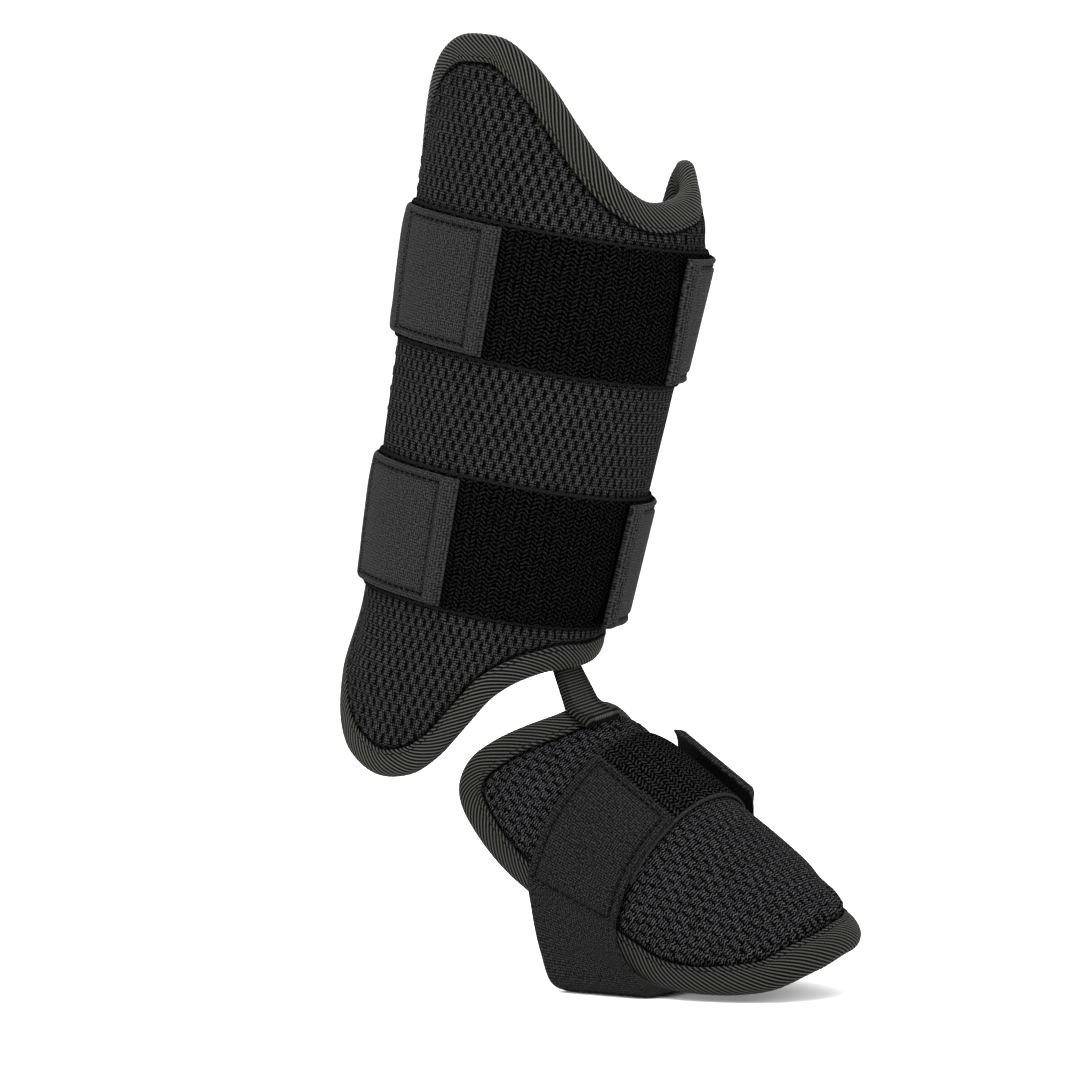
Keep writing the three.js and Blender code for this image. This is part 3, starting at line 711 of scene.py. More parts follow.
def leg_strap_band(run, cut):
    """Elastic from the inner tab round the calf to the outer tab, following the tube at the strap's lift.

    The outer tab's end is cut back by that many millimetres at its lower corner.
    """
    first = INNER_TAB + TAB_REACH
    turned_through = first - (OUTER_TAB - 360)
    length = np.radians(turned_through) * SHIN.reach(0, run)

    def under(along, across):
        angle = first - along / length * turned_through
        past_back = angle < SHIN_MIDDLE - 180
        other = np.where(past_back, angle + 360, angle)
        lift = np.maximum(*(strap_lift(SHIN, angle, tab, LEG_PATCH) for tab in (INNER_TAB, OUTER_TAB - 360)))
        lift = lift + TAB_LIFT * smooth(np.abs(along - length / 2), length / 2 - TAB_LIFT_LENGTH, length / 2)
        slack = smooth(along, *SLACK_CHANGE) * smooth(length - along, *SLACK_CHANGE)
        waves = STRAP_WAVE * ripple(along, across, STRAP_WAVE_SIZE) * slack
        curl = STRAP_CURL * (np.abs(across) / STRAP_WIDTH * 2) ** 4 * slack
        cut_back = cut * smooth(across, *TAB_CUT_ACROSS) * smooth(along, length - TAB_CUT_LENGTH, length)
        moved = np.where(past_back, np.degrees(cut_back / SHIN_RADIUS), 0)
        return SHIN.point(other + moved, run - across, SHIN.seat(other) + lift + waves - curl)
    edge = STRAP_WIDTH / 2 - STRAP_SEAM
    seams = sewn_box(STRAP_HEM, SEWN_LENGTH, edge) + sewn_box(length - STRAP_HEM, length - SEWN_LENGTH, edge)
    return Band(length, STRAP_WIDTH, under, STRAP_THICKNESS, (STRAP_HEM, STRAP_HEM), seams)


def level_run(run):
    """A strap's middle line that stays at one run round the leg."""
    return lambda angle: run + 0 * angle


def no_twist(angle):
    return 0 * angle


def foot_run(angle):
    return FOOT_STRAP_RUN + FOOT_STRAP_SWEEP * (angle / 90) ** 2


def foot_twist(angle):
    return -FOOT_STRAP_TWIST * np.sign(angle) * smooth(np.abs(angle), *FOOT_TWIST_ANGLES)


def foot_strap_band():
    """Elastic from the inner tab down the side of the guard, flat under the sole and up to the outer tab.

    Its sections on the guard and under the shoe are joined by a flowing curve through both edges.
    """
    def on_guard(start, end, tab, rise):
        angle = np.linspace(start, end, 11)
        lifted = rise * (1 - smooth(np.abs(angle - tab), 0, FOOT_TAB_BEND))
        bow = FOOT.radius * (1 - np.cos(np.radians(foot_twist(angle))))
        lift = strap_lift(FOOT, angle, tab, FOOT_PATCH) + lifted + bow
        sides = []
        for side in (-1, 1):
            turned = angle + side * foot_twist(angle)
            run = foot_run(angle) - side * FOOT_STRAP_WIDTH / 2
            sides.append(FOOT.point(turned, run, FOOT.seat(turned) + lift))
        return np.stack(sides, 1)

    side, ahead, height, tilt = SOLE_SECTIONS.T[:, :, None]
    edges = []
    for end in (-1, 1):
        forward = SOLE_STRAP_AHEAD + (ahead + end * np.cos(np.arcsin(2 * tilt)) / 2) * FOOT_STRAP_WIDTH
        beside = FOOT_OUTWARD + side * FOOT_SIDE_RADIUS
        up = height * (SOLE_BELOW - FOOT_BELOW) - SOLE_BELOW - end * tilt * FOOT_STRAP_WIDTH
        edges.append(AHEAD * forward + ASIDE * beside + np.array([0, 0, 1]) * up)
    sections = np.concatenate([
        on_guard(FOOT_INNER_TAB, FOOT_MIDDLE - FOOT_HALF + FOOT_STRAP_LEAVES, FOOT_INNER_TAB, 0),
        np.stack(edges, 1),
        on_guard(FOOT_MIDDLE + FOOT_HALF, FOOT_OUTER_TAB, FOOT_OUTER_TAB, FOOT_TAB_RISE),
    ])
    middle = sections.mean(1)
    knots = walked(middle)
    length = knots[-1]

    def under(along, across):
        share = (across * FOOT_STRAP_SPREAD / FOOT_STRAP_WIDTH + 0.5)[..., None]
        at = np.clip(along, 0, length)
        edge = flowing(knots, sections.reshape(len(sections), 6), at)
        past = (along - at)[..., None]
        end = np.where(past < 0, middle[1] - middle[0], (past > 0) * (middle[-1] - middle[-2]))
        spot = between(edge, share) + unit(end) * past
        spot[..., 2] = np.maximum(spot[..., 2], -SOLE_BELOW)
        return spot
    seams = sewn_box(FOOT_SEAM, FOOT_SEWN_LENGTH, FOOT_STRAP_WIDTH / 2 - FOOT_SEAM)
    return Band(length, FOOT_STRAP_WIDTH, under, STRAP_THICKNESS, (0, FOOT_HEM), seams)


def link_band():
    """Webbing from behind the shin guard's rim, straight down to the top of the foot guard's edge."""
    def section(pad, angle, run, lift):
        x = np.radians(angle - pad.middle) * pad.radius
        middle = pad.point(angle, run, pad.outer(np.array(x), np.array(run)) + lift)
        a = np.radians(angle)
        across = pad.matrix @ np.array([np.cos(a), np.sin(a), 0])
        return np.concatenate([middle - across * LINK_WIDTH / 2, middle + across * LINK_WIDTH / 2])

    behind_rim = EDGE_THICKNESS + LINK_OVER_RIM + LINK_THICKNESS + CLEARANCE
    bow = LINK_WIDTH ** 2 / (8 * (SHIN.reach(0, -SHIN_HEIGHT / 3) - behind_rim - BOTTOM_CURL))
    shin_x = np.radians(LINK_SHIN_ANGLE - SHIN_MIDDLE) * SHIN_RADIUS
    foot_x = np.radians(LINK_FOOT_ANGLE - FOOT_MIDDLE) * FOOT_SIDE_RADIUS
    shin_edge, foot_edge = SHIN.bottom(shin_x), FOOT.top(foot_x)
    behind = [shin_edge + LINK_TUCK, shin_edge + LINK_TUCK / 2, shin_edge - LINK_THICKNESS - CLEARANCE]
    over = [foot_edge, foot_edge - LINK_LAP / 2, foot_edge - LINK_LAP]
    sewn = [section(SHIN, LINK_SHIN_ANGLE, run, -behind_rim - bow) for run in behind]
    lapped = [section(FOOT, LINK_FOOT_ANGLE, run, LINK_OVER_RIM) for run in over]
    lapped = [np.concatenate([row[:3], between(row, LINK_GATHER)]) for row in lapped]
    free = [sewn[-1] * (1 - share) + lapped[0] * share for share in (0.1, 0.3, 0.7, 0.9)]
    sections = np.array(sewn + free + lapped)
    middle = (sections[:, :3] + sections[:, 3:]) / 2
    knots = walked(middle)

    def under(along, across):
        share = (across / LINK_WIDTH + 0.5)[..., None]
        at = np.clip(along, 0.01, knots[-1] - 0.01)
        past = (along - at)[..., None]
        return between(flowing(knots, sections, at), share) + unit(middle[-1] - middle[-2]) * past
    return Band(knots[-1], LINK_WIDTH, under, LINK_THICKNESS, (0, LINK_HEM))


def patch_band(pad, tab, direction, run_at, width, length, twist_at):
    """Hook tape under a strap's end, a little inside its edges."""
    def under(along, across):
        angle = tab + direction * np.degrees((along + PATCH_INSET) / pad.radius)
        turned = angle - across / (width / 2) * twist_at(angle)
        bow = pad.radius * (1 - np.cos(np.radians(twist_at(angle))))
        return pad.point(turned, run_at(angle) + across, pad.seat(turned) + PATCH_STANDOFF + bow)
    return Band(length - PATCH_INSET, width - 2 * PATCH_INSET, under, PATCH_THICKNESS)


def stitches(name, lines, length, pitch, radius):
    """Rows of thread: along each line of points a short five-sided capsule, sunk to half its radius.

    A line is its points and its outward normals, close together; every stitch is four rings of five.
    """
    ring_along = np.array([-0.5, -0.34, 0.34, 0.5])
    ring_size = np.array([0.25, 1, 1, 0.25])
    turned = np.arange(5) * 2 * np.pi / 5
    everything = []
    for points, normals in lines:
        gone = walked(points)
        at = np.arange(pitch / 2, gone[-1], pitch)
        centre, ahead, out = (
            np.stack([np.interp(at + shift, gone, values[:, k]) for k in range(3)], 1)
            for values, shift in ((points, 0), (points, length / 2), (normals, 0))
        )
        ahead, out = unit(ahead - centre), unit(out)
        aside = np.cross(ahead, out)
        around = np.cos(turned)[:, None, None] * aside + np.sin(turned)[:, None, None] * out
        rings = centre + ring_along[:, None, None, None] * length * ahead
        rings = rings + ring_size[:, None, None, None] * radius * around - out * radius * 0.2
        everything.append(np.moveaxis(rings, 2, 0).reshape(-1, 20, 3))
    capsules = np.concatenate(everything)
    side = grid_triangles(4, 6)
    side = side // 6 * 5 + side % 6 % 5
    caps = np.array([(0, 2, 1), (0, 3, 2), (0, 4, 3), (15, 16, 17), (15, 17, 18), (15, 18, 19)])
    one = np.concatenate([side, caps])
    triangles = (np.arange(len(capsules))[:, None, None] * 20 + one).reshape(-1, 3)
    points = capsules.reshape(-1, 3)
    flat = np.stack([np.repeat(ring_along * length, 5), np.tile(turned * radius, 4)], 1)
    return make_mesh(name, points, triangles, np.tile(flat, (len(capsules), 1)))


def line_on(band, start, end):
    """A straight line of points in the flat of a band, carried onto its top face, with the normals."""
    count = int(max(abs(end[0] - start[0]), abs(end[1] - start[1]))) + 2
    along, across = (np.linspace(start[k], end[k], count) for k in (0, 1))
    _, top, out = band.faces(along, across)
    return top, out


def sew_strap(place, band, seams, sizes, thread):
    """Adds the stitches of a strap's seams as one piece."""
    lines = [line_on(band, *seam) for seam in seams]
    mesh = stitches(f"{place} strap stitches", lines, sizes.stitch_length, sizes.stitch_pitch, STRAP_THREAD)
    add_piece(f"{place}_strap_stitches", mesh, thread, "elastic")


class Weave:
    """Short names for the node sums of one material, on the millimetres of the flat cloth."""

    def __init__(self, name, roughness, shine, sheen=0.0):
        self.material = bpy.data.materials.new(name)
        self.material.use_nodes = True
        self.tree = self.material.node_tree
        self.shader = self.tree.nodes["Principled BSDF"]
        self.shader.inputs["Roughness"].default_value = roughness
        self.shader.inputs["Specular IOR Level"].default_value = shine
        self.shader.inputs["Sheen Weight"].default_value = sheen
        self.shader.inputs["Sheen Roughness"].default_value = 0.5
        self.map = self.tree.nodes.new("ShaderNodeUVMap")
        self.map.uv_map = "cloth"
        split = self.tree.nodes.new("ShaderNodeSeparateXYZ")
        self.tree.links.new(self.map.outputs[0], split.inputs[0])
        self.u, self.v = split.outputs[0], split.outputs[1]

    def feed(self, socket, value):
        """Links a socket into another, or sets a number or colour on it."""
        if isinstance(value, bpy.types.NodeSocket):
            self.tree.links.new(value, socket)
        else:
            socket.default_value = value

    def sum(self, operation, *values):
        node = self.tree.nodes.new("ShaderNodeMath")
        node.operation = operation
        for socket, value in zip(node.inputs, values):
            self.feed(socket, value)
        return node.outputs[0]

    def times(self, first, second):
        return self.sum("MULTIPLY", first, second)

    def step(self, value, low, high):
        """Rises smoothly from 0 at low to 1 at high, or falls where low is above high."""
        node = self.tree.nodes.new("ShaderNodeMapRange")
        node.interpolation_type = "SMOOTHSTEP"
        ends = (0.0, 1.0) if low < high else (1.0, 0.0)
        for socket, number in zip(node.inputs, (value, min(low, high), max(low, high), *ends)):
            self.feed(socket, number)
        return node.outputs[0]

    def noise(self, size, detail=2.0, stretch=(1, 1)):
        """Noise with cells of about that many millimetres, longer along one way if stretched."""
        place = self.tree.nodes.new("ShaderNodeMapping")
        place.inputs["Scale"].default_value = (stretch[0] / size, stretch[1] / size, 1)
        self.tree.links.new(self.map.outputs[0], place.inputs[0])
        node = self.tree.nodes.new("ShaderNodeTexNoise")
        node.inputs["Scale"].default_value = 1.0
        node.inputs["Detail"].default_value = detail
        self.tree.links.new(place.outputs[0], node.inputs["Vector"])
        return node.outputs[0]

    def wave(self, value, pitch):
        """Sine of a distance, once every pitch, between 0 and 1."""
        turned = self.times(value, 2 * np.pi / pitch)
        return self.sum("MULTIPLY_ADD", self.sum("SINE", turned), 0.5, 0.5)

    def mix(self, share, first, second):
        node = self.tree.nodes.new("ShaderNodeMix")
        node.data_type = "RGBA"
        self.feed(node.inputs[0], share)
        self.feed(node.inputs[6], first)
        self.feed(node.inputs[7], second)
        return node.outputs[2]

    def total(self, *shares):
        """Sum of sockets, each times its own number."""
        value = self.times(*shares[0])
        for socket, times in shares[1:]:
            value = self.sum("MULTIPLY_ADD", socket, times, value)
        return value

    def finish(self, colour, height, depth):
        """Puts a colour, darkened by the painted shade in the mesh's point attribute, and a relief of that
        many millimetres on the shader.
        """
        # The attribute's painted shade darkens the colour towards black
        painted_shade = self.tree.nodes.new("ShaderNodeAttribute")
        painted_shade.attribute_name = "painted_shade"
        shaded = self.mix(painted_shade.outputs["Fac"], colour, (0.0, 0.0, 0.0, 1.0))
        self.feed(self.shader.inputs["Base Color"], shaded)
        bump = self.tree.nodes.new("ShaderNodeBump")
        bump.inputs["Strength"].default_value = 1.0
        bump.inputs["Distance"].default_value = depth * MM
        self.feed(bump.inputs["Height"], height)
        self.tree.links.new(bump.outputs[0], self.shader.inputs["Normal"])
        return self.material


def shade(colour, times):
    """A colour times a number, with full alpha."""
    return tuple(min(1.0, part * times) for part in colour[:3]) + (1.0,)


def mesh_material(name, colour, sizes, slots, courses, bulk, dark, light_times):
    """Spacer mesh: bundles of knitted loops between columns of lens-shaped slots.

    Every second column of slots is half a repeat up. A slot is where the squares of the distances
    from its middle, each over the slot's half size, add up to less than 1. The bundles are the
    product of two cosines, which is -1 at the slots and 1 halfway between two slots of a column.
    Besides their relief, the bundles lighten the colour towards their middles and darken it round
    the slots: painted shading of their round form.
    """
    w = Weave(name, 0.95, 0.01)
    u = w.sum("MULTIPLY_ADD", w.noise(3.0), 1.1, w.u)
    v = w.sum("MULTIPLY_ADD", w.noise(1.7), 1.7, w.v)
    number = w.sum("ROUND", w.sum("DIVIDE", u, sizes.slot_column))
    aside = w.sum("SUBTRACT", u, w.times(number, sizes.slot_column))
    half = w.times(w.sum("FLOORED_MODULO", number, 2.0), 0.5)
    along = w.sum("FRACT", w.sum("ADD", w.sum("DIVIDE", v, sizes.slot_row), half))
    along = w.times(w.sum("SUBTRACT", along, 0.5), sizes.slot_row)
    wide = w.sum("POWER", w.sum("DIVIDE", w.sum("ABSOLUTE", aside), sizes.slot_width / 2), 2.0)
    long = w.sum("POWER", w.sum("DIVIDE", w.sum("ABSOLUTE", along), sizes.slot_length / 2), 2.0)
    open_slot = w.step(w.sum("ADD", wide, long), 1.25, 0.7)
    round_leg = w.sum("COSINE", w.times(u, np.pi / sizes.slot_column))
    down_leg = w.sum("COSINE", w.times(v, 2 * np.pi / sizes.slot_row))
    bundles = w.sum("MULTIPLY_ADD", w.times(round_leg, down_leg), 0.5, 0.5)
    rows = w.wave(w.sum("MULTIPLY_ADD", w.sum("ABSOLUTE", aside), 0.4, v), sizes.course)
    loops = w.times(rows, w.wave(u, sizes.slot_column / 2))
    fibre = w.noise(0.6, 3.0)
    patches = w.noise(38.0)
    # Painted glints: light specks on the middles of the bundles, where the yarn would catch the light
    painted_glints = w.step(w.noise(0.8, 1.0), 0.56, 0.7)
    # Painted shading: the bundles term lightens the knit's colour at the bundles' middles and darkens it
    # round the slots
    knit = w.total((rows, courses * 0.8), (loops, 0.5 - courses / 2), (fibre, 1.0), (bundles, bulk))
    light = w.mix(w.step(knit, dark, 1.2), shade(colour, 0.0), shade(colour, light_times))
    light = w.mix(w.times(painted_glints, w.times(bundles, 0.55)), light, shade(colour, 6.5))
    light = w.mix(w.times(patches, 0.35), light, shade(colour, 0.5))
    # Painted shade: the slots are darkened nearly to black, for the shade inside the holes
    tone = w.mix(w.times(open_slot, slots), light, shade(colour, 0.02))
    height = w.total(
        (open_slot, -slots), (rows, courses * 0.5), (loops, 0.3), (fibre, 0.4), (bundles, bulk * 1.7),
    )
    return w.finish(tone, height, 0.9)


def twill_material(name, colour, rib, slant):
    """Twill tape: slanted ribs that follow the raised ones, with thread across each rib."""
    w = Weave(name, 0.7, 0.03, 0.01)
    phase = w.sum("MULTIPLY_ADD", w.v, slant, w.u)
    ridge = w.sum("ABSOLUTE", w.sum("SINE", w.times(phase, np.pi / rib)))
    thread = w.wave(w.sum("MULTIPLY_ADD", w.u, -0.8, w.v), 0.42)
    fibre = w.noise(0.4, 3.0)
    worn = w.noise(26.0)
    tone = w.mix(w.step(ridge, 0.66, 1.02), shade(colour, 0.0), shade(colour, 10.0))
    tone = w.mix(w.times(fibre, 0.4), tone, shade(colour, 0.3))
    tone = w.mix(w.times(w.step(worn, 0.45, 0.75), 0.2), tone, shade(colour, 2.2))
    return w.finish(tone, w.total((ridge, 1.0), (thread, 0.2), (fibre, 0.3)), 0.4)


def loop_tape_material(name, colour, edge, dark):
    """Loop tape woven in zigzags: rows of slanted threads that turn, and dip, every 2.6 mm."""
    w = Weave(name, 0.95, 0.0)
    wander = w.sum("MULTIPLY_ADD", w.noise(9.0), 1.6, w.u)
    climb = w.sum("MULTIPLY_ADD", w.noise(1.5), 1.3, w.v)
    swing = w.sum("PINGPONG", wander, 2.6)
    row = w.sum("FRACT", w.sum("DIVIDE", w.sum("MULTIPLY_ADD", swing, 0.65, climb), 1.7))
    ridge = w.sum("SUBTRACT", 1.0, w.times(w.sum("ABSOLUTE", w.sum("SUBTRACT", row, 0.5)), 2.0))
    column = w.sum("ABSOLUTE", w.sum("SUBTRACT", swing, 1.3))
    turned = w.step(column, 0.75, 1.3)
    thread = w.wave(w.sum("MULTIPLY_ADD", w.v, 0.9, w.u), 0.62)
    fuzz = w.noise(0.7, 4.0)
    rim = w.step(w.sum("ABSOLUTE", w.v), edge - 1.3, edge - 0.9)
    lit = w.total((ridge, 0.36), (thread, 0.2), (fuzz, 1.2), (turned, -0.14))
    tone = w.mix(w.step(lit, dark, 1.2), shade(colour, 0.0), shade(colour, 9.0))
    tone = w.mix(w.times(rim, 0.6), tone, shade(colour, 8.0))
    return w.finish(tone, w.total((ridge, 0.8), (thread, 0.3), (fuzz, 0.5), (turned, -0.5)), 0.45)


def elastic_material(name, colour, dark, light_times):
    """Heather elastic: fine ribs across the strap, broken by lighter and darker fibres along it."""
    w = Weave(name, 0.85, 0.03, 0.01)
    ribs = w.wave(w.u, 0.95)
    warp = w.wave(w.v, 1.1)
    fibre = w.noise(0.8, 3.0, (1, 1.4))
    flecks = w.step(w.noise(1.2, 2.0, (1.4, 1)), 0.45, 0.65)
    worn = w.noise(22.0)
    weave = w.total((ribs, 0.15), (warp, 0.1), (fibre, 1.0))
    tone = w.mix(w.step(weave, dark, 0.82), shade(colour, 0.0), shade(colour, light_times))
    tone = w.mix(w.times(flecks, 0.4), tone, shade(colour, 2.0))
    tone = w.mix(w.times(worn, 0.3), tone, shade(colour, 0.6))
    return w.finish(tone, w.total((ribs, 0.5), (warp, 0.3), (fibre, 1.2)), 0.4)


def webbing_material(name, colour):
    """Narrow webbing: ribs across it, checked in the middle where the warp shows."""
    w = Weave(name, 0.8, 0.03, 0.01)
    ribs = w.wave(w.u, 1.7)
    warp = w.wave(w.v, 1.7)
    middle = w.step(w.sum("ABSOLUTE", w.v), 7.5, 6.0)
    checks = w.times(w.times(ribs, warp), middle)
    fibre = w.noise(0.4, 3.0)
    weave = w.total((ribs, 0.6), (checks, 0.6), (fibre, 0.3))
    tone = w.mix(w.step(weave, 0.4, 1.0), shade(colour, 0.0), shade(colour, 5.0))
    return w.finish(tone, weave, 0.35)


def plain_cloth_material(name, colour, size, depth):
    """Thread or hook tape: one colour, mottled by noise of one size."""
    w = Weave(name, 0.8, 0.02)
    grain = w.noise(size, 3.0)
    return w.finish(w.mix(grain, shade(colour, 0.5), shade(colour, 1.6)), grain, depth)


def floor_material(name, colour):
    """Pale matt backdrop, mottled very faintly by noise on the object's own coordinates."""
    material = bpy.data.materials.new(name)
    material.use_nodes = True
    nodes, links = material.node_tree.nodes, material.node_tree.links
    shader = nodes["Principled BSDF"]
    shader.inputs["Roughness"].default_value = 0.9
    place, noise, mix = (nodes.new("ShaderNode" + kind) for kind in ("TexCoord", "TexNoise", "Mix"))
    mix.data_type = "RGBA"
    noise.inputs["Scale"].default_value = 3.0
    mix.inputs[6].default_value = shade(colour, 0.99)
    mix.inputs[7].default_value = shade(colour, 1.0)
    links.new(place.outputs["Object"], noise.inputs["Vector"])
    links.new(noise.outputs[0], mix.inputs[0])
    links.new(mix.outputs[2], shader.inputs["Base Color"])
    return material


def number_property(name, description, default, low=0.0):
    return FloatProperty(name=name, description=description, default=default, min=low)


def colour_property(name, description, default):
    return FloatVectorProperty(
        name=name, description=description, default=default, subtype="COLOR", size=3, min=0.0, max=1.0,
    )


class GuardSizes(bpy.types.PropertyGroup):
    """Sizes of the cloth's pattern and of the sewing, in millimetres."""

    slot_column: number_property("Slot columns", "Distance between the mesh's columns of slots, mm", 2.0)
    slot_row: number_property("Slot rows", "Distance between two slots of a column, mm", 8.8)
    slot_width: number_property("Slot width", "Width of a slot of the mesh, mm", 0.9)
    slot_length: number_property("Slot length", "Length of a slot of the mesh, mm", 4.0)
    course: number_property("Courses", "Distance between two rows of the mesh's loops, mm", 1.1)
    rib: number_property("Rib pitch", "Distance between the binding's ribs along its edge, mm", 2.6)
    rib_slant: number_property("Rib slant", "Shift of a rib along the edge per mm across", -1.7, low=-5.0)
    rib_height: number_property("Rib height", "How far the binding's ribs stand out, mm", 0.32)
    stitch_length: number_property("Stitch length", "Length of one visible stitch, mm", 2.1)
    stitch_pitch: number_property("Stitch pitch", "Distance between the stitches, mm", 3.1)


class GuardColours(bpy.types.PropertyGroup):
    """Colours of the cloths."""

    mesh: colour_property("Mesh", "Shin guard's mesh cloth", (0.0076, 0.0076, 0.0077))
    fine_mesh: colour_property("Fine mesh", "Foot guard's mesh cloth", (0.0042, 0.0041, 0.0044))
    twill: colour_property("Binding", "Twill tape round the shin guard", (0.0068, 0.0069, 0.0059))
    foot_twill: colour_property("Foot binding", "Twill tape round the foot guard", (0.0054, 0.0055, 0.0048))
    loop_tape: colour_property("Loop tape", "Fastening panels", (0.0012, 0.0012, 0.0012))
    foot_loop_tape: colour_property("Foot loop tape", "Foot guard's panel", (0.0031, 0.0031, 0.0031))
    hook_tape: colour_property("Hook tape", "Patches under the strap ends", (0.003, 0.003, 0.003))
    elastic: colour_property("Elastic", "Leg straps", (0.0095, 0.0095, 0.0096))
    # Foot elastic: set darker than the leg straps' elastic as painted shade, because this strap faces down
    foot_elastic: colour_property("Foot elastic", "Strap under the shoe", (0.005, 0.005, 0.0051))
    webbing: colour_property("Webbing", "Link between the guards", (0.008, 0.008, 0.0072))
    # Thread colour: near black, darker than the charcoal thread, so the stitches also carry painted shade of
    # the dents they sink into
    thread: colour_property("Thread", "Stitches", (0.0008, 0.0008, 0.0008))


class GuardStage(bpy.types.PropertyGroup):
    """Floor and lights."""

    floor: colour_property("Floor", "Floor under the guard", (0.97, 0.97, 0.97))
    key_power: number_property("Key light", "Power of the main light, W", 95.0)
    fill_power: number_property("Fill light", "Power of the soft side light, W", 26.0)
    back_power: number_property("Back light", "Power of the light behind, W", 24.0)
    sky: number_property("Sky", "Brightness of the even light all round", 1.5)


class GuardOperator:
    """Builds its pieces from the sizes and colours in the sidebar"""

    def execute(self, context):
        self.build(context.scene.guard_sizes, context.scene.guard_colours)
        return {"FINISHED"}


class GUARD_OT_pads(GuardOperator, bpy.types.Operator):
    """Makes the two padded bodies of mesh cloth over foam"""

    bl_idname = "guard.pads"
    bl_label = "Pads"

    def build(self, sizes, colours):
        mesh = mesh_material("Spacer mesh", colours.mesh, sizes, 0.88, 0.15, 0.26, 0.68, 6.5)
        fine = mesh_material("Fine mesh", colours.fine_mesh, sizes, 0.8, 0.65, 0.12, 0.86, 13.0)
        panels = [(level_run(run), PANEL_WIDTH) for _, run in LEG_RUNS]
        shin = pad_cloth(SHIN, "Shin cloth", (1.33, 1.0), 1.1, 7.3, panels)
        foot = pad_cloth(FOOT, "Foot cloth", (0.8, 0.8), 1.6, 5.2, [(foot_run, FOOT_PANEL_WIDTH)])
        add_piece("shin_cloth", shin, mesh, "spacer_mesh", "shin_pad")
        add_piece("foot_cloth", foot, fine, "fine_mesh", "foot_pad")


class GUARD_OT_bindings(GuardOperator, bpy.types.Operator):
    """Makes the ribbed tape folded over the edge of each pad, with its line of stitches"""

    bl_idname = "guard.bindings"
    bl_label = "Bindings"

    def build(self, sizes, colours):
        thread = plain_cloth_material("Thread", colours.thread, 0.6, 0.05)
        for pad, place, colour in ((SHIN, "shin", colours.twill), (FOOT, "foot", colours.foot_twill)):
            twill = twill_material(f"{place.title()} twill tape", colour, sizes.rib, sizes.rib_slant)
            tape = binding(pad, f"{place} binding", sizes.rib, sizes.rib_slant, sizes.rib_height)
            add_piece(f"{place}_edge_tape", tape, twill, "twill_tape", f"{place}_binding")
            around = np.arange(0, pad.edge_length, 1.0)
            lines = []
            for inset, height, side in EDGE_SEAMS:
                flat = np.zeros(len(around))
                points, inner = (
                    tape_points(pad, around, flat + inset, flat + up) for up in (height, height - side)
                )
                lines.append((points, points - inner))
            sewing = stitches(f"{place} seam", lines, sizes.stitch_length, sizes.stitch_pitch, EDGE_THREAD)
            add_piece(f"{place}_edge_stitches", sewing, thread, "twill_tape")


class GUARD_OT_panels(GuardOperator, bpy.types.Operator):
    """Makes the zigzag woven panels that the straps fasten to"""

    bl_idname = "guard.panels"
    bl_label = "Fastening panels"

    def build(self, sizes, colours):
        leg = loop_tape_material("Leg loop tape", colours.loop_tape, PANEL_WIDTH / 2, 0.8)
        foot = loop_tape_material("Foot loop tape", colours.foot_loop_tape, FOOT_PANEL_WIDTH / 2, 0.84)
        margins = (PANEL_INNER_MARGIN, PANEL_OUTER_MARGIN)
        for place, run in LEG_RUNS:
            band = panel_band(SHIN, level_run(run), PANEL_WIDTH, *margins, no_twist)
            mesh = band_mesh(f"{place} panel", band, 1.2)
            add_piece(f"{place}_panel", mesh, leg, "loop_tape", f"{place}_fastening_panel")
        band = panel_band(FOOT, foot_run, FOOT_PANEL_WIDTH, FOOT_PANEL_MARGIN, FOOT_PANEL_MARGIN, foot_twist)
        mesh = band_mesh("foot panel", band, 1.2)
        add_piece("foot_panel", mesh, foot, "loop_tape", "foot_fastening_panel")


class GUARD_OT_hook_patches(GuardOperator, bpy.types.Operator):
    """Makes the hook tape under the six strap ends"""

    bl_idname = "guard.hook_patches"
    bl_label = "Hook patches"

    def build(self, sizes, colours):
        hook = plain_cloth_material("Hook tape", colours.hook_tape, 0.8, 0.4)
        spots = []
        size = (STRAP_WIDTH, LEG_PATCH - LEG_PATCH_SHORTER)
        for place, run in LEG_RUNS:
            for end, tab, way in (("inner", INNER_TAB, -1), ("outer", OUTER_TAB + OUTER_PATCH_TURN, 1)):
                spots.append((f"{place}_{end}", SHIN, tab, way, level_run(run), *size, no_twist))
        for place, tab, way in (("foot_inner", FOOT_INNER_TAB, -1), ("foot_outer", FOOT_OUTER_TAB, 1)):
            spots.append((place, FOOT, tab, way, foot_run, FOOT_STRAP_WIDTH, FOOT_PATCH, foot_twist))
        for place, *spot in spots:
            mesh = band_mesh(f"{place} patch", patch_band(*spot), 2.0)
            add_piece(f"{place}_hooks", mesh, hook, "hook_tape", f"{place}_hook_patch")


class GUARD_OT_leg_straps(GuardOperator, bpy.types.Operator):
    """Makes the two elastic straps round the leg, with the stitches of their ends"""

    bl_idname = "guard.leg_straps"
    bl_label = "Leg straps"

    def build(self, sizes, colours):
        elastic = elastic_material("Elastic", colours.elastic, 0.5, 3.6)
        thread = plain_cloth_material("Strap thread", colours.thread, 0.6, 0.05)
        for (place, run), cut in zip(LEG_RUNS, (TAB_CUT, 0.0)):
            band = leg_strap_band(run, cut)
            mesh = band_mesh(f"{place} strap", band, 0.9)
            add_piece(f"{place}_elastic", mesh, elastic, "elastic", f"{place}_strap")
            sew_strap(place, band, band.seams, sizes, thread)


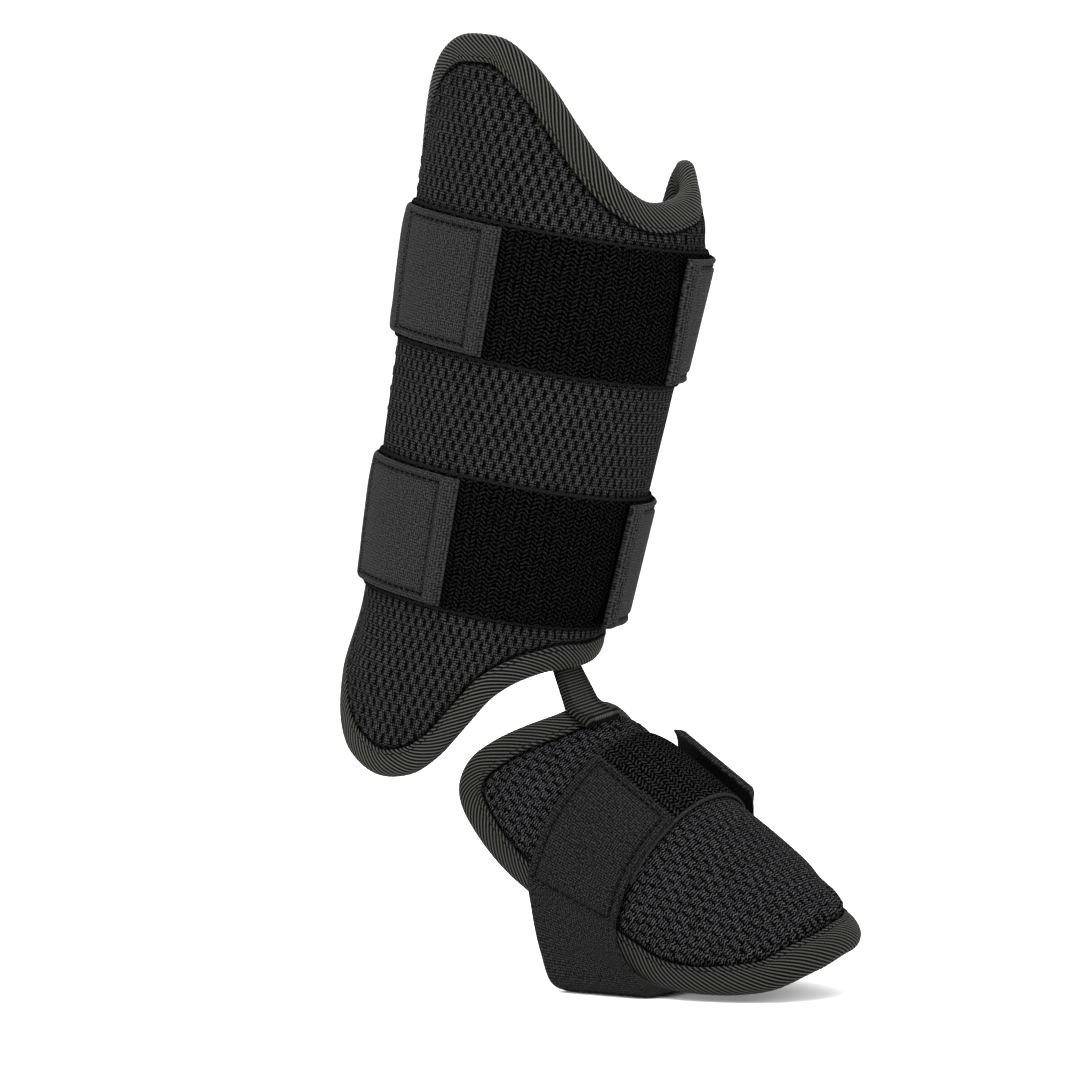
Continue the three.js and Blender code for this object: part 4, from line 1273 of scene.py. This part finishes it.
class GUARD_OT_foot_strap(GuardOperator, bpy.types.Operator):
    """Makes the elastic strap under the shoe, with the stitched box of its end"""

    bl_idname = "guard.foot_strap"
    bl_label = "Foot strap"

    def build(self, sizes, colours):
        # The foot elastic's darker colour is painted shade for a strap that faces down
        elastic = elastic_material("Foot elastic", colours.foot_elastic, 0.56, 5.5)
        thread = plain_cloth_material("Foot strap thread", colours.thread, 0.6, 0.05)
        band = foot_strap_band()
        add_piece("foot_elastic", band_mesh("foot strap", band, 1.1), elastic, "elastic", "foot_strap")
        near, away = band.length - FOOT_HEM, band.length - FOOT_OUTER_SEWN
        outer = sewn_box(near, away, FOOT_STRAP_WIDTH / 2 - FOOT_SEAM)
        sew_strap("foot", band, band.seams + outer, sizes, thread)


class GUARD_OT_link(GuardOperator, bpy.types.Operator):
    """Makes the webbing that links the two guards"""

    bl_idname = "guard.link"
    bl_label = "Link webbing"

    def build(self, sizes, colours):
        webbing = webbing_material("Webbing", colours.webbing)
        add_piece("link_webbing", band_mesh("link", link_band(), 0.8), webbing, "webbing", "link_web")


def floor_mesh():
    """A round floor: rings of points at widening radii round the middle, once round."""
    radius = np.array([0.0001, 0.5, 1.0, 2.5, 6.0, 14.0, 30.0])
    turned = np.arange(96) * 2 * np.pi / 96
    x = np.cos(turned)[:, None] * radius
    y = np.sin(turned)[:, None] * radius
    z = np.full(x.shape, GROUND - 0.0003)
    mesh = bpy.data.meshes.new("floor")
    triangles = grid_triangles(96, len(radius), True)[:, ::-1]
    mesh.from_pydata(np.stack([x, y, z], -1).reshape(-1, 3).tolist(), [], triangles.tolist())
    return mesh


def add_light(name, power, size, place, target=CAMERA_TARGET):
    """A square area light at a place, facing the target."""
    light = bpy.data.lights.new(name, "AREA")
    light.energy, light.size = power, size
    lamp = bpy.data.objects.new(name, light)
    lamp.location = place
    lamp.rotation_euler = (Vector(target) - Vector(place)).to_track_quat("-Z", "Y").to_euler()
    bpy.context.scene.collection.objects.link(lamp)


class GUARD_OT_stage(bpy.types.Operator):
    """Makes the pale floor, the soft lights and the camera"""

    bl_idname = "guard.stage"
    bl_label = "Stage"

    def execute(self, context):
        scene, stage = context.scene, context.scene.guard_stage
        floor = bpy.data.objects.new("Floor", floor_mesh())
        floor.data.materials.append(floor_material("Pale floor", stage.floor))
        scene.collection.objects.link(floor)
        a, e = np.radians(CAMERA_AZIMUTH), np.radians(CAMERA_HEIGHT)
        toward = Vector((np.sin(a) * np.cos(e), -np.cos(a) * np.cos(e), np.sin(e)))
        aside = Vector((-np.cos(a), -np.sin(a), 0))
        add_light("Key", stage.key_power, 2.0, toward * 1.5 + aside * 0.7 + Vector((0, 0, 1.9)))
        add_light("Fill", stage.fill_power, 1.6, toward * 1.6 - aside * 1.6 + Vector((0, 0, 0.5)))
        add_light("Back", stage.back_power, 1.4, toward * -1.5 + Vector((0, 0, 1.3)))
        scene.world = bpy.data.worlds.new("Even light")
        scene.world.use_nodes = True
        background = scene.world.node_tree.nodes["Background"]
        background.inputs["Color"].default_value = (1, 1, 1, 1)
        background.inputs["Strength"].default_value = stage.sky
        scene.view_settings.view_transform = "Standard"
        camera = bpy.data.objects.new("Camera", bpy.data.cameras.new("Camera"))
        camera.data.lens = CAMERA_LENS
        camera.location = Vector(CAMERA_TARGET) + toward * CAMERA_DISTANCE
        camera.rotation_euler = (-toward).to_track_quat("-Z", "Y").to_euler()
        scene.collection.objects.link(camera)
        scene.camera = camera
        return {"FINISHED"}


class GUARD_PT_sidebar(bpy.types.Panel):
    """Lists the pieces, sizes and colours in the 3D view's sidebar"""

    bl_idname = "GUARD_PT_sidebar"
    bl_label = "Shin and foot guard"
    bl_space_type = "VIEW_3D"
    bl_region_type = "UI"
    bl_category = "Guard"

    def draw(self, context):
        for operator in OPERATORS:
            self.layout.operator(operator.bl_idname)
        for group in (context.scene.guard_sizes, context.scene.guard_colours, context.scene.guard_stage):
            for name in group.bl_rna.properties.keys():
                if name not in ("rna_type", "name"):
                    self.layout.prop(group, name)


GROUPS = (GuardSizes, GuardColours, GuardStage)
OPERATORS = (
    GUARD_OT_pads, GUARD_OT_bindings, GUARD_OT_panels, GUARD_OT_hook_patches,
    GUARD_OT_leg_straps, GUARD_OT_foot_strap, GUARD_OT_link, GUARD_OT_stage,
)


def register():
    for part in (*GROUPS, *OPERATORS, GUARD_PT_sidebar):
        bpy.utils.register_class(part)
    bpy.types.Scene.guard_sizes = PointerProperty(type=GuardSizes)
    bpy.types.Scene.guard_colours = PointerProperty(type=GuardColours)
    bpy.types.Scene.guard_stage = PointerProperty(type=GuardStage)


def unregister():
    for name in ("guard_sizes", "guard_colours", "guard_stage"):
        delattr(bpy.types.Scene, name)
    for part in reversed((*GROUPS, *OPERATORS, GUARD_PT_sidebar)):
        bpy.utils.unregister_class(part)


def main():
    register()
    bpy.ops.guard.pads()
    bpy.ops.guard.bindings()
    bpy.ops.guard.panels()
    bpy.ops.guard.hook_patches()
    bpy.ops.guard.leg_straps()
    bpy.ops.guard.foot_strap()
    bpy.ops.guard.link()
    bpy.ops.guard.stage()


if __name__ == "__main__":
    main()
